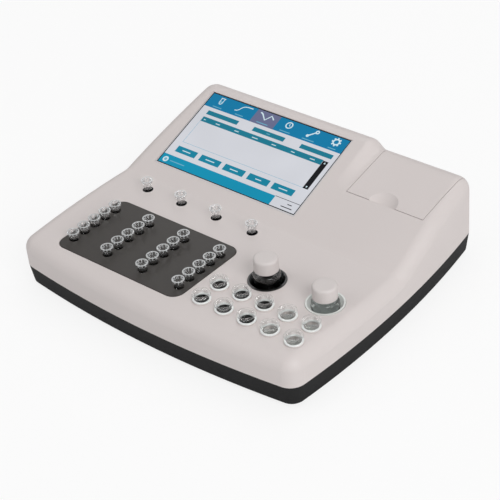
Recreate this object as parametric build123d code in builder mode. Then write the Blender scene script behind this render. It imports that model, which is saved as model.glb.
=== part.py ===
from build123d import *
import math
import os

os.makedirs("parts", exist_ok=True)

# Coagulation analyzer. Millimetres, +Z up, the operator stands at -Y.
# The origin is the middle of the footprint, on the table.

# Body
foot_height = 3.0
tray_height = 18.5
side_wall_height = 25.0
front_bow_radius = 1081.0
side_bow_radius = 853.0
side_bow_y = -20.0
left_margin = 37.15
right_margin = 21.52
front_margin = 20.15
plan_corner_radius = 14.0
top_edge_radius = 11.0
housing_wall = 2.6
tray_wall = 2.5
tray_taper = 2.6
tray_edge_radius = 2.0
fit_gap = 0.3
overrun = 20.0

# Head: the slope behind the deck, with the display on it and the printer at its right
fold_radius = 10.0
screen_tilt = 20.1
printer_tilt = 12.0
printer_bend_radius = 60.0
ridge_radius = 14.0
step_to_lid = 2.95
step_width = 13.0
step_sections = 8

# Display
screen_offset = -0.3
screen_front_margin = 15.86
screen_back_margin = 21.77
glass_width = 156.6
glass_height = 88.4
glass_thickness = 2.3
glass_recess = 0.3
lcd_width = 165.0
lcd_height = 92.0
lcd_thickness = 8.0
lcd_ear_length = 7.0
lcd_ear_width = 12.0
lcd_ear_thickness = 1.2
lcd_boss_radius = 3.2
lcd_ear_place_share = 0.36

# Incubator field: four columns of five cuvettes
field_offset = -0.7
cuvette_columns = 4
cuvette_rows = 5
cuvette_pitch_x = 39.2
cuvette_pitch_y = 12.45
mat_side_margin = 8.95
mat_end_margin = 14.9
mat_thickness = 3.0
mat_proud = 0.4
mat_corner_radius = 10.0
mat_edge_radius = 0.5
mat_hole_radius = 4.3
block_margin = 3.0

# Cuvettes
cuvette_length = 30.0
cuvette_rim_height = 8.0
cuvette_flange_radius = 5.3
cuvette_flange_thickness = 2.0
cuvette_body_radius = 3.7
cuvette_tip_radius = 3.2
cuvette_mouth_radius = 4.3
cuvette_mouth_depth = 2.6
cuvette_bore_radius = 2.75
cuvette_wall = 0.9
bore_clearance = 0.35

# Measuring wells
measuring_gap = 24.4
measuring_to_fold = 16.0
measuring_rim_height = 10.0
measuring_hole_radius = 4.7
measuring_block_depth = 21.0
measuring_block_margin = 9.0
optics_board_thickness = 1.6
optics_board_height = 18.0
optics_barrel_radius = 2.5
optics_barrel_length = 4.0
optics_axis_height = 12.0
light_channel_radius = 1.2

# Reagent wells: five columns of two cups
cup_columns = 5
cup_rows = 2
mat_to_cup = 17.35
cup_pitch_x = 22.87
cup_to_front = 42.45
cup_pitch_y = 21.2
cup_length = 27.0
cup_rim_height = 6.6
cup_flange_radius = 7.7
cup_flange_thickness = 1.2
cup_body_radius = 6.0
cup_tip_radius = 5.5
cup_wall = 0.8
cup_floor = 1.4
well_lip_radius = 7.4
well_lip_height = 0.8
heated_columns = 3

# Vial wells
heated_vial_right = 25.5
heated_vial_back = 38.4
ambient_vial_right = 81.7
ambient_vial_back = 40.1
vial_hole_radius = 16.0
vial_ring_radius = 15.7
vial_ring_proud = 0.7
vial_funnel_radius = 14.4
vial_funnel_depth = 3.2
vial_bore_radius = 11.9
vial_lift = 4.0
liner_wall = 2.6
liner_floor = 2.0

# Vials and caps
vial_radius = 11.2
vial_wall = 1.2
vial_shoulder_height = 28.2
vial_shoulder_rise = 2.3
vial_neck_radius = 7.2
vial_mouth_radius = 8.6
vial_mouth_height = 3.4
vial_height = 41.3
cap_radius = 10.0
cap_wall = 1.0
cap_top = 1.2
cap_height = 11.7
cap_edge_radius = 1.2

# Blocks under the deck
post_radius = 4.5
post_height = 14.5
reagent_block_margin = 10.8
rack_gap = 0.6
block_screw_margin = 5.5

# Screws: one kind holds everything
screw_length = 8.0
screw_radius = 1.5
screw_head_radius = 2.8
screw_head_height = 2.0
screw_clearance = 0.1
screw_drive_radius = 1.3
screw_drive_depth = 1.2
screw_seat = 3.0

# Housing bosses
boss_radius = 4.2
boss_corner_inset = 26.5
boss_front_gap = 8.2
boss_side_gap = 12.15
boss_side_y = 28.0
boss_rear_gap = 16.1
boss_rear_inset = 10.25
boss_step_offset = 3.5

# Feet
foot_radius = 9.0
foot_side_inset = 33.5
foot_end_inset = 31.25
foot_edge_radius = 0.8

# Printer
lid_side_inset = 55.3
lid_width = 75.5
lid_depth = 65.25
lid_gap = 0.45
lid_front_gap = 0.7
lid_skirt = 4.0
dip_offset = -2.5
dip_width = 27.0
dip_depth = 3.8
ear_thickness = 3.0
ear_radius = 4.4
hinge_ear_inset = 7.0
hinge_pin_radius = 2.0
running_gap = 0.05
bucket_wall = 2.0
bucket_floor = 2.0
bucket_post_height = 11.5
bucket_lip = 2.4
bearing_margin = 5.0
bucket_screw_inset = 8.0
platen_ahead = 17.0
platen_above = 17.2
platen_radius = 5.0
platen_length = 58.0
platen_shaft_radius = 2.0
platen_gear_radius = 5.6
platen_gear_width = 3.0
platen_side_gap = 0.8
roll_radius = 17.5
roll_width = 57.0
roll_core_radius = 6.2
roll_to_hinge = 22.25
cradle_depth = 22.0
cradle_height = 5.0
print_head_length = 58.0
print_head_height = 11.0
print_head_gap = 1.2
print_head_rib_count = 9
print_head_rib_width = 2.0
print_head_rib_depth = 1.2

# Power inlet and switch in the back wall
inlet_side_inset = 66.5
inlet_above_seam = 16.0
inlet_width = 46.0
inlet_height = 24.0
inlet_depth = 16.0
inlet_recess = 0.5
inlet_flange = 3.0
inlet_flange_thickness = 2.0
inlet_corner_radius = 2.0
jack_offset = -13.0
jack_radius = 5.2
jack_depth = 11.0
jack_pin_radius = 1.2
rocker_offset = 9.0
rocker_length = 19.0
rocker_width = 12.6
rocker_swing = 7.0
rocker_proud = 2.2
rocker_body_depth = 5.0
rocker_gap = 0.35
rocker_pin_radius = 1.2
rocker_pin_length = 1.6

# Main board
board_thickness = 1.6
board_width = 132.0
board_depth = 74.0
board_side_inset = 79.5
board_back_inset = 59.25
board_screw_inset = 5.0
chip_size = 14.0
chip_height = 1.6
chip_count = 4
chip_pitch = 24.0
connector_length = 22.0
connector_width = 6.0
connector_height = 7.0
capacitor_radius = 4.0
capacitor_height = 12.0
capacitor_pitch = 12.0
capacitor_count = 3

# Plan that follows: the body is as large as what it holds needs
mat_width = (cuvette_columns - 1) * cuvette_pitch_x + 2 * mat_side_margin
mat_depth = (cuvette_rows - 1) * cuvette_pitch_y + 2 * mat_end_margin
head_depth = ((screen_front_margin + glass_height + screen_back_margin)
              * math.cos(math.radians(screen_tilt)))
body_width = (left_margin + mat_width + mat_to_cup
              + (cup_columns - 1) * cup_pitch_x + right_margin)
body_depth = front_margin + mat_depth + measuring_gap + measuring_to_fold + head_depth
front_y = -body_depth / 2
back_y = body_depth / 2
half_width = body_width / 2
mat_x = left_margin + mat_width / 2 - half_width
mat_centre_y = front_y + front_margin + mat_depth / 2
incubator_y = mat_centre_y + field_offset
measuring_y = mat_centre_y + mat_depth / 2 + measuring_gap
fold_y = measuring_y + measuring_to_fold
screen_x = mat_x + screen_offset
screen_centre_y = fold_y + ((screen_front_margin + glass_height / 2)
                            * math.cos(math.radians(screen_tilt)))
cup_first_x = mat_x + mat_width / 2 + mat_to_cup
cup_centre_y = front_y + cup_to_front
heated_vial_x = cup_first_x + heated_vial_right
heated_vial_y = cup_centre_y + heated_vial_back
ambient_vial_x = cup_first_x + ambient_vial_right
ambient_vial_y = cup_centre_y + ambient_vial_back
lid_x = half_width - lid_side_inset
printer_bend_y = back_y - lid_depth
step_right_x = lid_x - lid_width / 2 - step_to_lid
step_left_x = step_right_x - step_width
hinge_y = back_y - ridge_radius
roll_y = hinge_y - roll_to_hinge
platen_y = roll_y - platen_ahead
foot_x = half_width - foot_side_inset
foot_y = back_y - foot_end_inset
inlet_x = inlet_side_inset - half_width
board_x = board_side_inset - half_width
board_y = back_y - board_back_inset

# Heights that follow
seam_z = foot_height + tray_height
deck_z = seam_z + side_wall_height
inlet_z = seam_z + inlet_above_seam
tray_floor_z = foot_height + tray_wall
post_top_z = tray_floor_z + post_height
under_deck_z = deck_z - housing_wall
block_top_z = under_deck_z - fit_gap
mat_top_z = deck_z + mat_proud


def rise(tilt, run):
    """Height that a line with this tilt gains over a horizontal run."""
    return run * math.tan(math.radians(tilt))


def bow(radius, reach):
    """How far a bowed side falls back from its middle to a place this far along it."""
    return radius - math.sqrt(radius ** 2 - reach ** 2)


def roof_corner(corner_y, corner_z, tilt_before, tilt_after, inset):
    """Corner of the side view after both lines that meet there move in by inset."""
    middle = math.radians((tilt_before + tilt_after) / 2)
    spread = math.cos(math.radians((tilt_after - tilt_before) / 2))
    return (corner_y + inset * math.sin(middle) / spread,
            corner_z - inset * math.cos(middle) / spread)


screen_centre_z = deck_z + rise(screen_tilt, screen_centre_y - fold_y)
bend_z = deck_z + rise(screen_tilt, printer_bend_y - fold_y)
screen_top_z = deck_z + rise(screen_tilt, back_y - fold_y)
printer_top_z = bend_z + rise(printer_tilt, back_y - printer_bend_y)
hinge_z = (bend_z + rise(printer_tilt, hinge_y - printer_bend_y)
           - ridge_radius / math.cos(math.radians(printer_tilt)))
lid_swing_radius = math.hypot(ridge_radius, lid_skirt) + fit_gap

slope = math.radians(screen_tilt)
screen_plane = Plane(
    origin=(screen_x, screen_centre_y, screen_centre_z),
    x_dir=(1, 0, 0),
    z_dir=(0, -math.sin(slope), math.cos(slope)),
)

incubator_places = GridLocations(cuvette_pitch_x, cuvette_pitch_y, cuvette_columns, cuvette_rows)
incubator_points = [
    (mat_x + spot.position.X, incubator_y + spot.position.Y) for spot in incubator_places
]
measuring_points = [
    (mat_x + (column - (cuvette_columns - 1) / 2) * cuvette_pitch_x, measuring_y)
    for column in range(cuvette_columns)
]
cup_points = [
    (cup_first_x + column * cup_pitch_x, cup_centre_y + (row - (cup_rows - 1) / 2) * cup_pitch_y)
    for row in range(cup_rows)
    for column in range(cup_columns)
]
heated_cup_points = [point for point in cup_points
                     if point[0] < cup_first_x + (heated_columns - 1 / 2) * cup_pitch_x]
ambient_cup_points = [point for point in cup_points if point not in heated_cup_points]


def plan_outline(inset, back_edge_y):
    """Plan of the body with its bowed front and sides, for an open BuildSketch."""
    with Locations((0, front_y + front_bow_radius)):
        Circle(front_bow_radius - inset)
    for side in (-1, 1):
        with Locations((side * (half_width - side_bow_radius), side_bow_y)):
            Circle(side_bow_radius - inset, mode=Mode.INTERSECT)
    plan_depth = back_edge_y - front_y + overrun
    with Locations((0, back_edge_y - plan_depth / 2)):
        Rectangle(2 * body_width, plan_depth, mode=Mode.INTERSECT)


def body_form(head_tilt, inset, bottom_z):
    """Outer form of the housing for one slope of the head, moved in by inset."""
    ridge_z = screen_top_z if head_tilt == screen_tilt else printer_top_z
    fold = roof_corner(fold_y, deck_z, 0, screen_tilt, inset)
    bend = roof_corner(printer_bend_y, bend_z, screen_tilt, head_tilt, inset)
    ridge = roof_corner(back_y, ridge_z, head_tilt, -90, inset)
    rounded = {fold: fold_radius + inset, ridge: ridge_radius - inset}
    if head_tilt == printer_tilt:
        rounded[bend] = printer_bend_radius - inset
    outline = [
        (front_y - overrun, bottom_z),
        (front_y - overrun, deck_z - inset),
        *sorted(rounded),
        (back_y - inset, bottom_z),
    ]
    with BuildPart() as form:
        with BuildSketch(Plane.XY.offset(bottom_z)) as plan:
            plan_outline(inset, back_y + overrun)
            fillet(plan.vertices().group_by(Axis.Y)[0], plan_corner_radius - inset)
        extrude(amount=ridge_z)
        with BuildSketch(Plane.YZ) as side_view:
            with BuildLine():
                Polyline(*outline, close=True)
            make_face()
            for corner, corner_radius in rounded.items():
                fillet(side_view.vertices().sort_by_distance(Vector(*corner))[0], corner_radius)
        extrude(amount=body_width, both=True, mode=Mode.INTERSECT)
        across = form.edges().filter_by(Axis.X)
        upright = form.edges().filter_by(Axis.Z) - form.edges().group_by(Axis.Y)[-1]
        lowest = form.edges().group_by(Axis.Z)[0]
        fillet(form.edges() - across - upright - lowest, top_edge_radius - inset)
    return form.part


def slab_of(form, low_x, high_x):
    """The part of a form between two planes across the body."""
    with BuildPart() as piece:
        add(form)
        split(bisect_by=Plane.YZ.offset(low_x), keep=Keep.TOP)
        split(bisect_by=Plane.YZ.offset(high_x), keep=Keep.BOTTOM)
    return piece.part


def head_section(tilt, section_x):
    """Section through the head above the deck, as a sketch on its own plane."""
    top_z = bend_z + rise(tilt, back_y - printer_bend_y)
    with BuildSketch(Plane.YZ.offset(section_x)) as section:
        with BuildLine():
            Polyline(
                (printer_bend_y, deck_z),
                (printer_bend_y, bend_z),
                (back_y, top_z),
                (back_y, deck_z),
                close=True,
            )
        make_face()
        fillet(section.vertices().sort_by_distance(Vector(back_y, top_z))[0], ridge_radius)
    return section.sketch


def step_form():
    """Soft step from the display's slope down to the printer's flatter slope."""
    sections = []
    for number in range(step_sections + 1):
        along = number / step_sections
        blend = (1 - math.cos(math.pi * along)) / 2
        sections.append(head_section(
            screen_tilt + (printer_tilt - screen_tilt) * blend,
            step_left_x + (step_right_x - step_left_x) * along,
        ))
    with BuildPart() as step:
        loft(sections, ruled=True)
    return step.part


printer_form = body_form(printer_tilt, 0, seam_z)
screen_form = body_form(screen_tilt, 0, seam_z)
with BuildPart() as outer_form:
    # Between the two slopes the step takes the place of the head
    add(slab_of(screen_form, step_left_x, step_right_x))
    with BuildSketch(Plane.XY.offset(deck_z)):
        with Locations((step_right_x, printer_bend_y + body_depth / 2)):
            Rectangle(body_width, body_depth)
    extrude(amount=screen_top_z, mode=Mode.SUBTRACT)
    add(step_form())
    add(slab_of(screen_form, -body_width, step_left_x))
    add(slab_of(printer_form, step_right_x, body_width))

inner_cut_x = step_left_x - housing_wall
printer_cavity = body_form(printer_tilt, housing_wall, seam_z - overrun)
screen_cavity = body_form(screen_tilt, housing_wall, seam_z - overrun)
with BuildPart() as inner_form:
    add(slab_of(screen_cavity, -body_width, inner_cut_x))
    add(slab_of(printer_cavity, inner_cut_x, body_width))

# What stands under the housing keeps this form, a fit gap inside its walls
clear_form = body_form(printer_tilt, housing_wall + fit_gap, tray_floor_z)

# Blocks and the screws that hold them
between_columns = [(mat_x + side * cuvette_pitch_x, 0) for side in (-1, 1)]
incubator_screws = [(spot_x, mat_centre_y) for spot_x, _ in between_columns]
measuring_screws = [(spot_x, measuring_y) for spot_x, _ in between_columns]
measuring_width = (cuvette_columns - 1) * cuvette_pitch_x + 2 * measuring_block_margin
heated_left = cup_first_x - reagent_block_margin
heated_right = cup_first_x + (heated_columns - 1) * cup_pitch_x + reagent_block_margin
rack_left = heated_right + rack_gap
rack_right = cup_first_x + (cup_columns - 1) * cup_pitch_x + reagent_block_margin
block_front = cup_centre_y - cup_pitch_y / 2 - reagent_block_margin
block_back = heated_vial_y + vial_hole_radius + liner_wall
heated_screws = [
    (heated_left + block_screw_margin, cup_centre_y),
    (heated_right - block_screw_margin, block_back - block_screw_margin),
]
rack_screws = [
    (rack_right - block_screw_margin, cup_centre_y),
    (rack_left + block_screw_margin, block_back - block_screw_margin),
]
block_screws = incubator_screws + measuring_screws + heated_screws + rack_screws
boss_front_x = half_width - boss_corner_inset
boss_front_y = front_y + bow(front_bow_radius, boss_front_x) + boss_front_gap
boss_side_x = half_width - bow(side_bow_radius, boss_side_y - side_bow_y) - boss_side_gap
boss_rear_y = back_y - boss_rear_inset
boss_rear_left_x = (boss_rear_gap + bow(side_bow_radius, boss_rear_y - side_bow_y)
                    - half_width)
boss_points = [
    (-boss_front_x, boss_front_y),
    (boss_front_x, boss_front_y),
    (-boss_side_x, boss_side_y),
    (boss_side_x, boss_side_y),
    (boss_rear_left_x, boss_rear_y),
    (step_left_x + boss_step_offset, boss_rear_y),
]
board_screws = [
    (board_x + side * (board_width / 2 - board_screw_inset),
     board_y + end * (board_depth / 2 - board_screw_inset))
    for side in (-1, 1)
    for end in (-1, 1)
]
screw_seat_z = post_top_z - screw_seat
board_top_z = post_top_z + board_thickness

# Printer bay
bucket_inner = lid_width / 2 + lid_gap
bucket_outer = bucket_inner + bucket_wall
bucket_front = printer_bend_y - bucket_wall
bucket_inner_front = printer_bend_y + bucket_lip
bucket_back = hinge_y + bearing_margin
bucket_bottom_z = tray_floor_z + bucket_post_height
bucket_floor_z = bucket_bottom_z + bucket_floor
roll_z = bucket_floor_z + fit_gap + roll_radius
platen_z = roll_z + platen_above
bucket_screws = [
    (lid_x + side * (bucket_inner - bucket_screw_inset),
     roll_y + end * (cradle_depth + bucket_screw_inset) / 2)
    for side in (-1, 1)
    for end in (-1, 1)
]

# Thumb dip: a ball cut into the lid's front edge
dip_radius = ((dip_width / 2) ** 2 + dip_depth ** 2) / (2 * dip_depth)
printer_slope = math.radians(printer_tilt)
dip_centre = (
    lid_x + dip_offset,
    printer_bend_y - (dip_radius - dip_depth) * math.sin(printer_slope),
    bend_z + (dip_radius - dip_depth) * math.cos(printer_slope),
)

# The display's parts lie square to the slope
lcd_ear_points = [
    (side * lcd_ear_place_share * lcd_width, end * (lcd_height + lcd_ear_length) / 2)
    for side in (-1, 1)
    for end in (-1, 1)
]
lcd_front = screen_plane.offset(-housing_wall)
lcd_back = screen_plane.offset(-housing_wall - lcd_thickness)
ear_front = screen_plane.offset(-housing_wall - lcd_thickness + lcd_ear_thickness)


def upright_bar(points, radius, low_z, high_z):
    """Round bars standing at the points, for an open BuildPart."""
    with BuildSketch(Plane.XY.offset(low_z)) as discs:
        with Locations(*points):
            Circle(radius)
    extrude(discs.sketch, amount=high_z - low_z)


def drill(points, radius, low_z, high_z):
    """Round holes at the points, for an open BuildPart."""
    with BuildSketch(Plane.XY.offset(low_z)) as discs:
        with Locations(*points):
            Circle(radius)
    extrude(discs.sketch, amount=high_z - low_z, mode=Mode.SUBTRACT)


with BuildPart() as boss_bars:
    upright_bar(boss_points, boss_radius, post_top_z, screen_top_z)
    add(outer_form.part, mode=Mode.INTERSECT)
with BuildPart() as boss_feet:
    upright_bar(boss_points, boss_radius, post_top_z, seam_z)

with BuildPart() as top_housing:
    add(outer_form.part)
    add(inner_form.part, mode=Mode.SUBTRACT)
    add(boss_bars.part)
    add(boss_feet.part)
    with BuildSketch(lcd_front):
        with Locations(*lcd_ear_points):
            Circle(lcd_boss_radius)
    extrude(amount=lcd_ear_thickness - lcd_thickness)
    # Raised lips round the reagent wells
    upright_bar(cup_points, well_lip_radius, under_deck_z, deck_z + well_lip_height)
    # Display window
    with BuildSketch(screen_plane):
        Rectangle(glass_width + 2 * fit_gap, glass_height + 2 * fit_gap)
    extrude(amount=housing_wall, both=True, mode=Mode.SUBTRACT)
    # Wells and the opening for the incubator plate
    drill(cup_points, cup_body_radius + bore_clearance, block_top_z, deck_z + overrun)
    drill(measuring_points, measuring_hole_radius, block_top_z, deck_z + overrun)
    vial_points = [(heated_vial_x, heated_vial_y), (ambient_vial_x, ambient_vial_y)]
    drill(vial_points, vial_hole_radius, block_top_z, deck_z + overrun)
    with BuildSketch(Plane.XY.offset(block_top_z)):
        with Locations((mat_x, mat_centre_y)):
            RectangleRounded(mat_width + 2 * fit_gap, mat_depth + 2 * fit_gap,
                             mat_corner_radius + fit_gap)
    extrude(amount=housing_wall + overrun, mode=Mode.SUBTRACT)
    # Printer bay: the lid's footprint, and room for its rolled back edge
    bay_front = printer_bend_y - lid_front_gap
    bay_depth = back_y + overrun - bay_front
    with BuildSketch(Plane.XY.offset(hinge_z)):
        with Locations((lid_x, bay_front + bay_depth / 2)):
            Rectangle(2 * bucket_inner, bay_depth)
    extrude(amount=printer_top_z, mode=Mode.SUBTRACT)
    with BuildSketch(Plane.YZ.offset(lid_x)):
        with Locations((hinge_y, hinge_z)):
            Circle(lid_swing_radius)
    extrude(amount=bucket_inner, both=True, mode=Mode.SUBTRACT)
    # Power inlet window
    with BuildSketch(Plane.XZ.offset(-back_y - overrun)):
        with Locations((inlet_x, inlet_z)):
            RectangleRounded(inlet_width + 2 * fit_gap, inlet_height + 2 * fit_gap,
                             inlet_corner_radius + fit_gap)
    extrude(amount=overrun + housing_wall, mode=Mode.SUBTRACT)
    # Screw holes
    drill(boss_points, screw_radius + screw_clearance, post_top_z,
          screw_seat_z + screw_length + screw_clearance)
    with BuildSketch(ear_front):
        with Locations(*lcd_ear_points):
            Circle(screw_radius + screw_clearance)
    extrude(amount=screw_length - lcd_ear_thickness + screw_clearance, mode=Mode.SUBTRACT)
top_housing.part.label = "top_housing"
export_step(top_housing.part, "parts/top_housing.step")


def tray_outline(inset):
    """Plan of the tray with rounded corners, for an open BuildSketch named by the caller."""
    plan_outline(inset, back_y - inset)


with BuildPart() as base_tray:
    for level_z, inset in ((foot_height, tray_taper), (seam_z, 0)):
        with BuildSketch(Plane.XY.offset(level_z)) as outline:
            tray_outline(inset)
            fillet(outline.vertices().group_by(Axis.Y)[0], plan_corner_radius - inset)
            fillet(outline.vertices().group_by(Axis.Y)[-1], top_edge_radius - inset)
    loft()
    fillet(base_tray.faces().sort_by(Axis.Z)[0].edges(), tray_edge_radius)
    for level_z, inset in ((tray_floor_z, tray_taper + tray_wall), (seam_z, tray_wall)):
        with BuildSketch(Plane.XY.offset(level_z)) as outline:
            tray_outline(inset)
            fillet(outline.vertices().group_by(Axis.Y)[0], plan_corner_radius - inset)
            fillet(outline.vertices().group_by(Axis.Y)[-1], top_edge_radius - inset)
    loft(mode=Mode.SUBTRACT)
    upright_bar(block_screws + boss_points + board_screws, post_radius, foot_height, post_top_z)
    upright_bar(bucket_screws, post_radius, foot_height, bucket_bottom_z)
    raised = block_screws + boss_points
    drill(raised, screw_head_radius + screw_clearance, 0, screw_seat_z)
    drill(raised, screw_radius + screw_clearance, screw_seat_z, post_top_z)
    drill(board_screws, screw_radius + screw_clearance,
          board_top_z - screw_length - screw_clearance, post_top_z)
    drill(bucket_screws, screw_radius + screw_clearance,
          bucket_floor_z - screw_length - screw_clearance, bucket_bottom_z)
base_tray.part.label = "base_tray"
export_step(base_tray.part, "parts/base_tray.step")

with BuildPart() as rubber_feet:
    with BuildSketch():
        with Locations((-foot_x, -foot_y), (foot_x, -foot_y),
                       (-foot_x, foot_y), (foot_x, foot_y)):
            Circle(foot_radius)
    extrude(amount=foot_height)
    fillet(rubber_feet.edges().group_by(Axis.Z)[0], foot_edge_radius)
rubber_feet.part.label = "rubber_feet"
export_step(rubber_feet.part, "parts/rubber_feet.step")


def screw(seat):
    """Socket screw with its head's underside on the seat plane, for an open BuildPart."""
    with BuildSketch(seat) as shank:
        Circle(screw_radius)
    extrude(shank.sketch, amount=screw_length)
    with BuildSketch(seat) as head:
        Circle(screw_head_radius)
    extrude(head.sketch, amount=-screw_head_height)
    with BuildSketch(seat.offset(-screw_head_height)) as socket:
        RegularPolygon(screw_drive_radius, 6)
    extrude(socket.sketch, amount=screw_drive_depth, mode=Mode.SUBTRACT)


with BuildPart() as case_screws:
    for spot_x, spot_y in block_screws + boss_points:
        screw(Plane(origin=(spot_x, spot_y, screw_seat_z)))
    for spot_x, spot_y in board_screws:
        screw(Plane(origin=(spot_x, spot_y, board_top_z), z_dir=(0, 0, -1)))
    for spot_x, spot_y in bucket_screws:
        screw(Plane(origin=(spot_x, spot_y, bucket_floor_z), z_dir=(0, 0, -1)))
    for spot in Locations(*lcd_ear_points).local_locations:
        place = lcd_back * spot
        screw(Plane(origin=place.position, x_dir=lcd_back.x_dir, z_dir=lcd_back.z_dir))
case_screws.part.label = "case_screws"
export_step(case_screws.part, "parts/case_screws.step")

with BuildPart() as touch_glass:
    with BuildSketch(screen_plane.offset(-glass_recess)):
        Rectangle(glass_width, glass_height)
    extrude(amount=-glass_thickness)
touch_glass.part.label = "touch_glass"
export_step(touch_glass.part, "parts/touch_glass.step")

with BuildPart() as lcd_panel:
    with BuildSketch(lcd_front):
        Rectangle(lcd_width, lcd_height)
    extrude(amount=-lcd_thickness)
    with BuildSketch(lcd_back):
        with Locations(*lcd_ear_points):
            Rectangle(lcd_ear_width, lcd_ear_length + 2 * fit_gap)
    extrude(amount=lcd_ear_thickness)
    with BuildSketch(lcd_back):
        with Locations(*lcd_ear_points):
            Circle(screw_radius + screw_clearance)
    extrude(amount=lcd_ear_thickness, mode=Mode.SUBTRACT)
lcd_panel.part.label = "lcd_panel"
export_step(lcd_panel.part, "parts/lcd_panel.step")

with BuildPart() as incubator_mat:
    with BuildSketch(Plane.XY.offset(mat_top_z - mat_thickness)):
        with Locations((mat_x, mat_centre_y)):
            RectangleRounded(mat_width, mat_depth, mat_corner_radius)
    extrude(amount=mat_thickness)
    fillet(incubator_mat.edges().group_by(Axis.Z)[-1], mat_edge_radius)
    drill(incubator_points, mat_hole_radius, deck_z - mat_thickness, mat_top_z)
incubator_mat.part.label = "incubator_mat"
export_step(incubator_mat.part, "parts/incubator_mat.step")

cuvette_bore = cuvette_body_radius + bore_clearance
cuvette_floor_z = deck_z + cuvette_rim_height - cuvette_length
with BuildPart() as incubator_block:
    with BuildSketch(Plane.XY.offset(post_top_z)):
        with Locations((mat_x, mat_centre_y)):
            RectangleRounded(mat_width - 2 * block_margin, mat_depth - 2 * block_margin,
                             mat_corner_radius - block_margin)
    extrude(amount=mat_top_z - mat_thickness - post_top_z)
    drill(incubator_points, cuvette_bore, cuvette_floor_z, deck_z)
    drill(incubator_screws, screw_radius + screw_clearance, post_top_z,
          screw_seat_z + screw_length + screw_clearance)
incubator_block.part.label = "incubator_block"
export_step(incubator_block.part, "parts/incubator_block.step")

measuring_floor_z = deck_z + measuring_rim_height - cuvette_length
optics_axis_z = post_top_z + optics_axis_height
with BuildPart() as measuring_block:
    with BuildSketch(Plane.XY.offset(post_top_z)):
        with Locations((mat_x, measuring_y)):
            Rectangle(measuring_width, measuring_block_depth)
    extrude(amount=block_top_z - post_top_z)
    drill(measuring_points, cuvette_bore, measuring_floor_z, deck_z)
    drill(measuring_screws, screw_radius + screw_clearance, post_top_z,
          screw_seat_z + screw_length + screw_clearance)
    # Light channels cross each well from front to back
    with BuildSketch(Plane.XZ.offset(-measuring_y)):
        with Locations(*[(spot_x, optics_axis_z) for spot_x, _ in measuring_points]):
            Circle(light_channel_radius)
    extrude(amount=measuring_block_depth / 2, both=True, mode=Mode.SUBTRACT)
    for side in (-1, 1):
        with BuildSketch(Plane.XZ.offset(-measuring_y + side * measuring_block_depth / 2)):
            with Locations(*[(spot_x, optics_axis_z) for spot_x, _ in measuring_points]):
                Circle(optics_barrel_radius + fit_gap)
        extrude(amount=-side * (optics_barrel_length + fit_gap), mode=Mode.SUBTRACT)
measuring_block.part.label = "measuring_block"
export_step(measuring_block.part, "parts/measuring_block.step")

with BuildPart() as optics_boards:
    for side in (-1, 1):
        face = Plane.XZ.offset(-measuring_y + side * measuring_block_depth / 2)
        with BuildSketch(face):
            with Locations((mat_x, optics_axis_z)):
                Rectangle(measuring_width, optics_board_height)
        extrude(amount=side * optics_board_thickness)
        with BuildSketch(face):
            with Locations(*[(spot_x, optics_axis_z) for spot_x, _ in measuring_points]):
                Circle(optics_barrel_radius)
        extrude(amount=-side * optics_barrel_length)
optics_boards.part.label = "optics_boards"
export_step(optics_boards.part, "parts/optics_boards.step")

cup_bore = cup_body_radius + bore_clearance
cup_floor_z = deck_z + cup_rim_height - cup_length
liner_radius = vial_bore_radius + liner_wall
ambient_vial_z = post_top_z + liner_floor
heated_vial_z = ambient_vial_z + vial_lift
ring_top_z = deck_z + vial_ring_proud


def vial_well(centre_x, centre_y, floor_z):
    """Funnel and bore that a vial drops into, for an open BuildPart."""
    drill([(centre_x, centre_y)], vial_bore_radius, floor_z, ring_top_z)
    with BuildSketch(Plane.XY.offset(ring_top_z)) as mouth:
        with Locations((centre_x, centre_y)):
            Circle(vial_funnel_radius)
    with BuildSketch(Plane.XY.offset(ring_top_z - vial_funnel_depth)) as throat:
        with Locations((centre_x, centre_y)):
            Circle(vial_bore_radius)
    loft([mouth.sketch, throat.sketch], mode=Mode.SUBTRACT)


with BuildPart() as heated_reagent_block:
    with BuildSketch(Plane.XY.offset(post_top_z)):
        with Locations(((heated_left + heated_right) / 2, (block_front + block_back) / 2)):
            Rectangle(heated_right - heated_left, block_back - block_front)
    extrude(amount=block_top_z - post_top_z)
    add(clear_form, mode=Mode.INTERSECT)
    drill(heated_cup_points, cup_bore, cup_floor_z, deck_z)
    drill([(heated_vial_x, heated_vial_y)], liner_radius + bore_clearance,
          heated_vial_z - liner_floor, deck_z)
    drill(heated_screws, screw_radius + screw_clearance, post_top_z,
          screw_seat_z + screw_length + screw_clearance)
heated_reagent_block.part.label = "heated_reagent_block"
export_step(heated_reagent_block.part, "parts/heated_reagent_block.step")

with BuildPart() as ambient_rack:
    with BuildSketch(Plane.XY.offset(post_top_z)):
        with Locations(((rack_left + rack_right) / 2, (block_front + block_back) / 2)):
            Rectangle(rack_right - rack_left, block_back - block_front)
    extrude(amount=block_top_z - post_top_z)
    add(clear_form, mode=Mode.INTERSECT)
    upright_bar([(ambient_vial_x, ambient_vial_y)], vial_ring_radius, post_top_z, ring_top_z)
    drill(ambient_cup_points, cup_bore, cup_floor_z, deck_z)
    vial_well(ambient_vial_x, ambient_vial_y, ambient_vial_z)
    drill(rack_screws, screw_radius + screw_clearance, post_top_z,
          screw_seat_z + screw_length + screw_clearance)
ambient_rack.part.label = "ambient_rack"
export_step(ambient_rack.part, "parts/ambient_rack.step")

with BuildPart() as black_well_liner:
    upright_bar([(heated_vial_x, heated_vial_y)], liner_radius,
                heated_vial_z - liner_floor, ring_top_z)
    upright_bar([(heated_vial_x, heated_vial_y)], vial_ring_radius, block_top_z, ring_top_z)
    vial_well(heated_vial_x, heated_vial_y, heated_vial_z)
black_well_liner.part.label = "black_well_liner"
export_step(black_well_liner.part, "parts/black_well_liner.step")

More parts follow.
